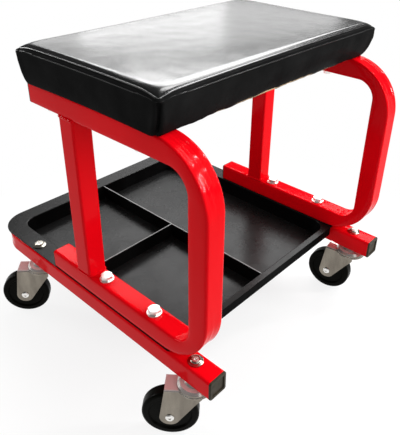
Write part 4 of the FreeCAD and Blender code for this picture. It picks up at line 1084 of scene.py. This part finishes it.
LIGHT_TARGET = Vector((0, 0, 0.2))
BACKDROP_TOP = 0.02  # sine of the elevation where the white backdrop ends
CEILING_START = 0.12  # sine of the elevation where the ceiling has its full dimness
CEILING_SHARE = 0.12
AMBIENT = 0.31
BOUNCE = 0.62  # the far floor's level as light
FLOOR_HALF = 6.0
FLOOR_GREY = 0.93
FLOOR_FADE = (-1.5, 0.5)  # distances over which it turns white, which makes it mostly white at the middle
LAMPS = (  # name, azimuth, elevation, distance, width and height in metres, watts
    ("key", -58, 40, 2.4, (2.0, 2.0), 20),
    ("fill", -100, 25, 2.4, (1.5, 1.5), 8),
    ("streak_low", -46, 24, 1.9, (0.07, 0.9), 24),
    ("streak_high", -30, 46, 1.9, (0.05, 0.5), 10),
    ("back_panel", 50, 17, 2.4, (0.8, 0.4), 1.4),
    ("back_glow", 46, 17, 2.4, (1.8, 0.42), 4.0),
    ("back_high", 33, 37, 2.2, (1.56, 0.68), 22),
    ("rim_glow", 64, 35, 2.2, (0.50, 0.30), 3.6),
    ("left_glow", 66, 27, 2.2, (0.7, 0.5), 0.8),
    ("front_roll", 8, 47, 2.2, (2.2, 0.5), 20),
    ("corner_roll", 24, 60, 2.2, (0.7, 0.5), 10),
    ("left_strip", 117, 18, 2.2, (0.6, 0.7), 16),
)


def area_light(name, azimuth, elevation, distance, size, power):
    """A soft lamp aimed at the object and hidden from the camera."""
    data = bpy.data.lights.new(name, "AREA")
    data.shape = "RECTANGLE"
    data.size, data.size_y = size
    data.energy = power
    lamp = new_object(name, data)
    away = direction(azimuth, elevation)
    lamp.location = LIGHT_TARGET + away * distance
    lamp.rotation_euler = away.to_track_quat("Z", "Y").to_euler()
    lamp.visible_camera = False


def ray_share(tree, *kinds):
    """1 for rays of the kinds given and 0 for all others."""
    rays = add_node(tree, "LightPath")
    total = rays.outputs[f"Is {kinds[0]} Ray"]
    for kind in kinds[1:]:
        highest = add_node(tree, "Math", operation="MAXIMUM")
        feed(tree, total, highest.inputs[0])
        feed(tree, rays.outputs[f"Is {kind} Ray"], highest.inputs[1])
        total = highest.outputs[0]
    return total


def level(tree, share, other_level, ray_level):
    """A strength that differs between some kinds of rays and all others."""
    node = add_node(tree, "Mix")
    for socket, source in (("Factor", share), ("A", other_level), ("B", ray_level)):
        feed(tree, source, node.inputs[socket])
    return node.outputs["Result"]


def world_light():
    """White to the eye, a backdrop under a dim ceiling in reflections, and a soft even level as light."""
    world = bpy.data.worlds.new("studio")
    bpy.context.scene.world = world
    world.use_nodes = True
    tree = world.node_tree
    background = tree.nodes["Background"]
    feed(tree, grey(1), background.inputs["Color"])
    split = add_node(tree, "SeparateXYZ")
    feed(tree, add_node(tree, "TexCoord").outputs["Generated"], split.inputs[0])
    ceiling = map_range(
        tree, split.outputs["Z"], BACKDROP_TOP, CEILING_START, 1.0, CEILING_SHARE,
        interpolation_type="SMOOTHSTEP")
    mirrored = level(tree, ray_share(tree, "Glossy", "Transmission"), AMBIENT, ceiling)
    strength = level(tree, ray_share(tree, "Camera"), mirrored, 1.0)
    feed(tree, strength, background.inputs["Strength"])


def floor():
    """A pale floor that keeps the object's shadow and turns plain white further out."""
    mesh = bpy.data.meshes.new("floor")
    corners = [(x * FLOOR_HALF, y * FLOOR_HALF, 0) for x, y in ((-1, -1), (1, -1), (1, 1), (-1, 1))]
    mesh.from_pydata(corners, [], [(0, 1, 2, 3)])
    plane = new_object("floor", mesh)
    n = Nodes("pale_floor", Roughness=0.9, Specular_IOR_Level=0.0)
    feed(n.tree, grey(FLOOR_GREY), n.shader.inputs["Base Color"])
    distance = n.add("VectorMath", operation="LENGTH")
    n.link(n.coords, distance.inputs[0])
    far = n.span(distance.outputs["Value"], 0.0, 1.0, *FLOOR_FADE)
    glow = n.add("Emission")
    seen = ray_share(n.tree, "Camera", "Glossy", "Transmission")
    n.link(level(n.tree, seen, BOUNCE, 1.0), glow.inputs["Strength"])
    mix = n.add("MixShader")
    for socket, source in enumerate((far, n.shader.outputs[0], glow.outputs[0])):
        n.link(source, mix.inputs[socket])
    n.link(mix.outputs[0], n.tree.nodes["Material Output"].inputs["Surface"])
    mesh.materials.append(n.material)


dress_cad_nodes()
side_tubes()
base_tube()
weld_beads()
seat_cover()
place_camera()
world_light()
for row in LAMPS:
    area_light(*row)
floor()
bpy.context.scene.view_settings.view_transform = "Standard"
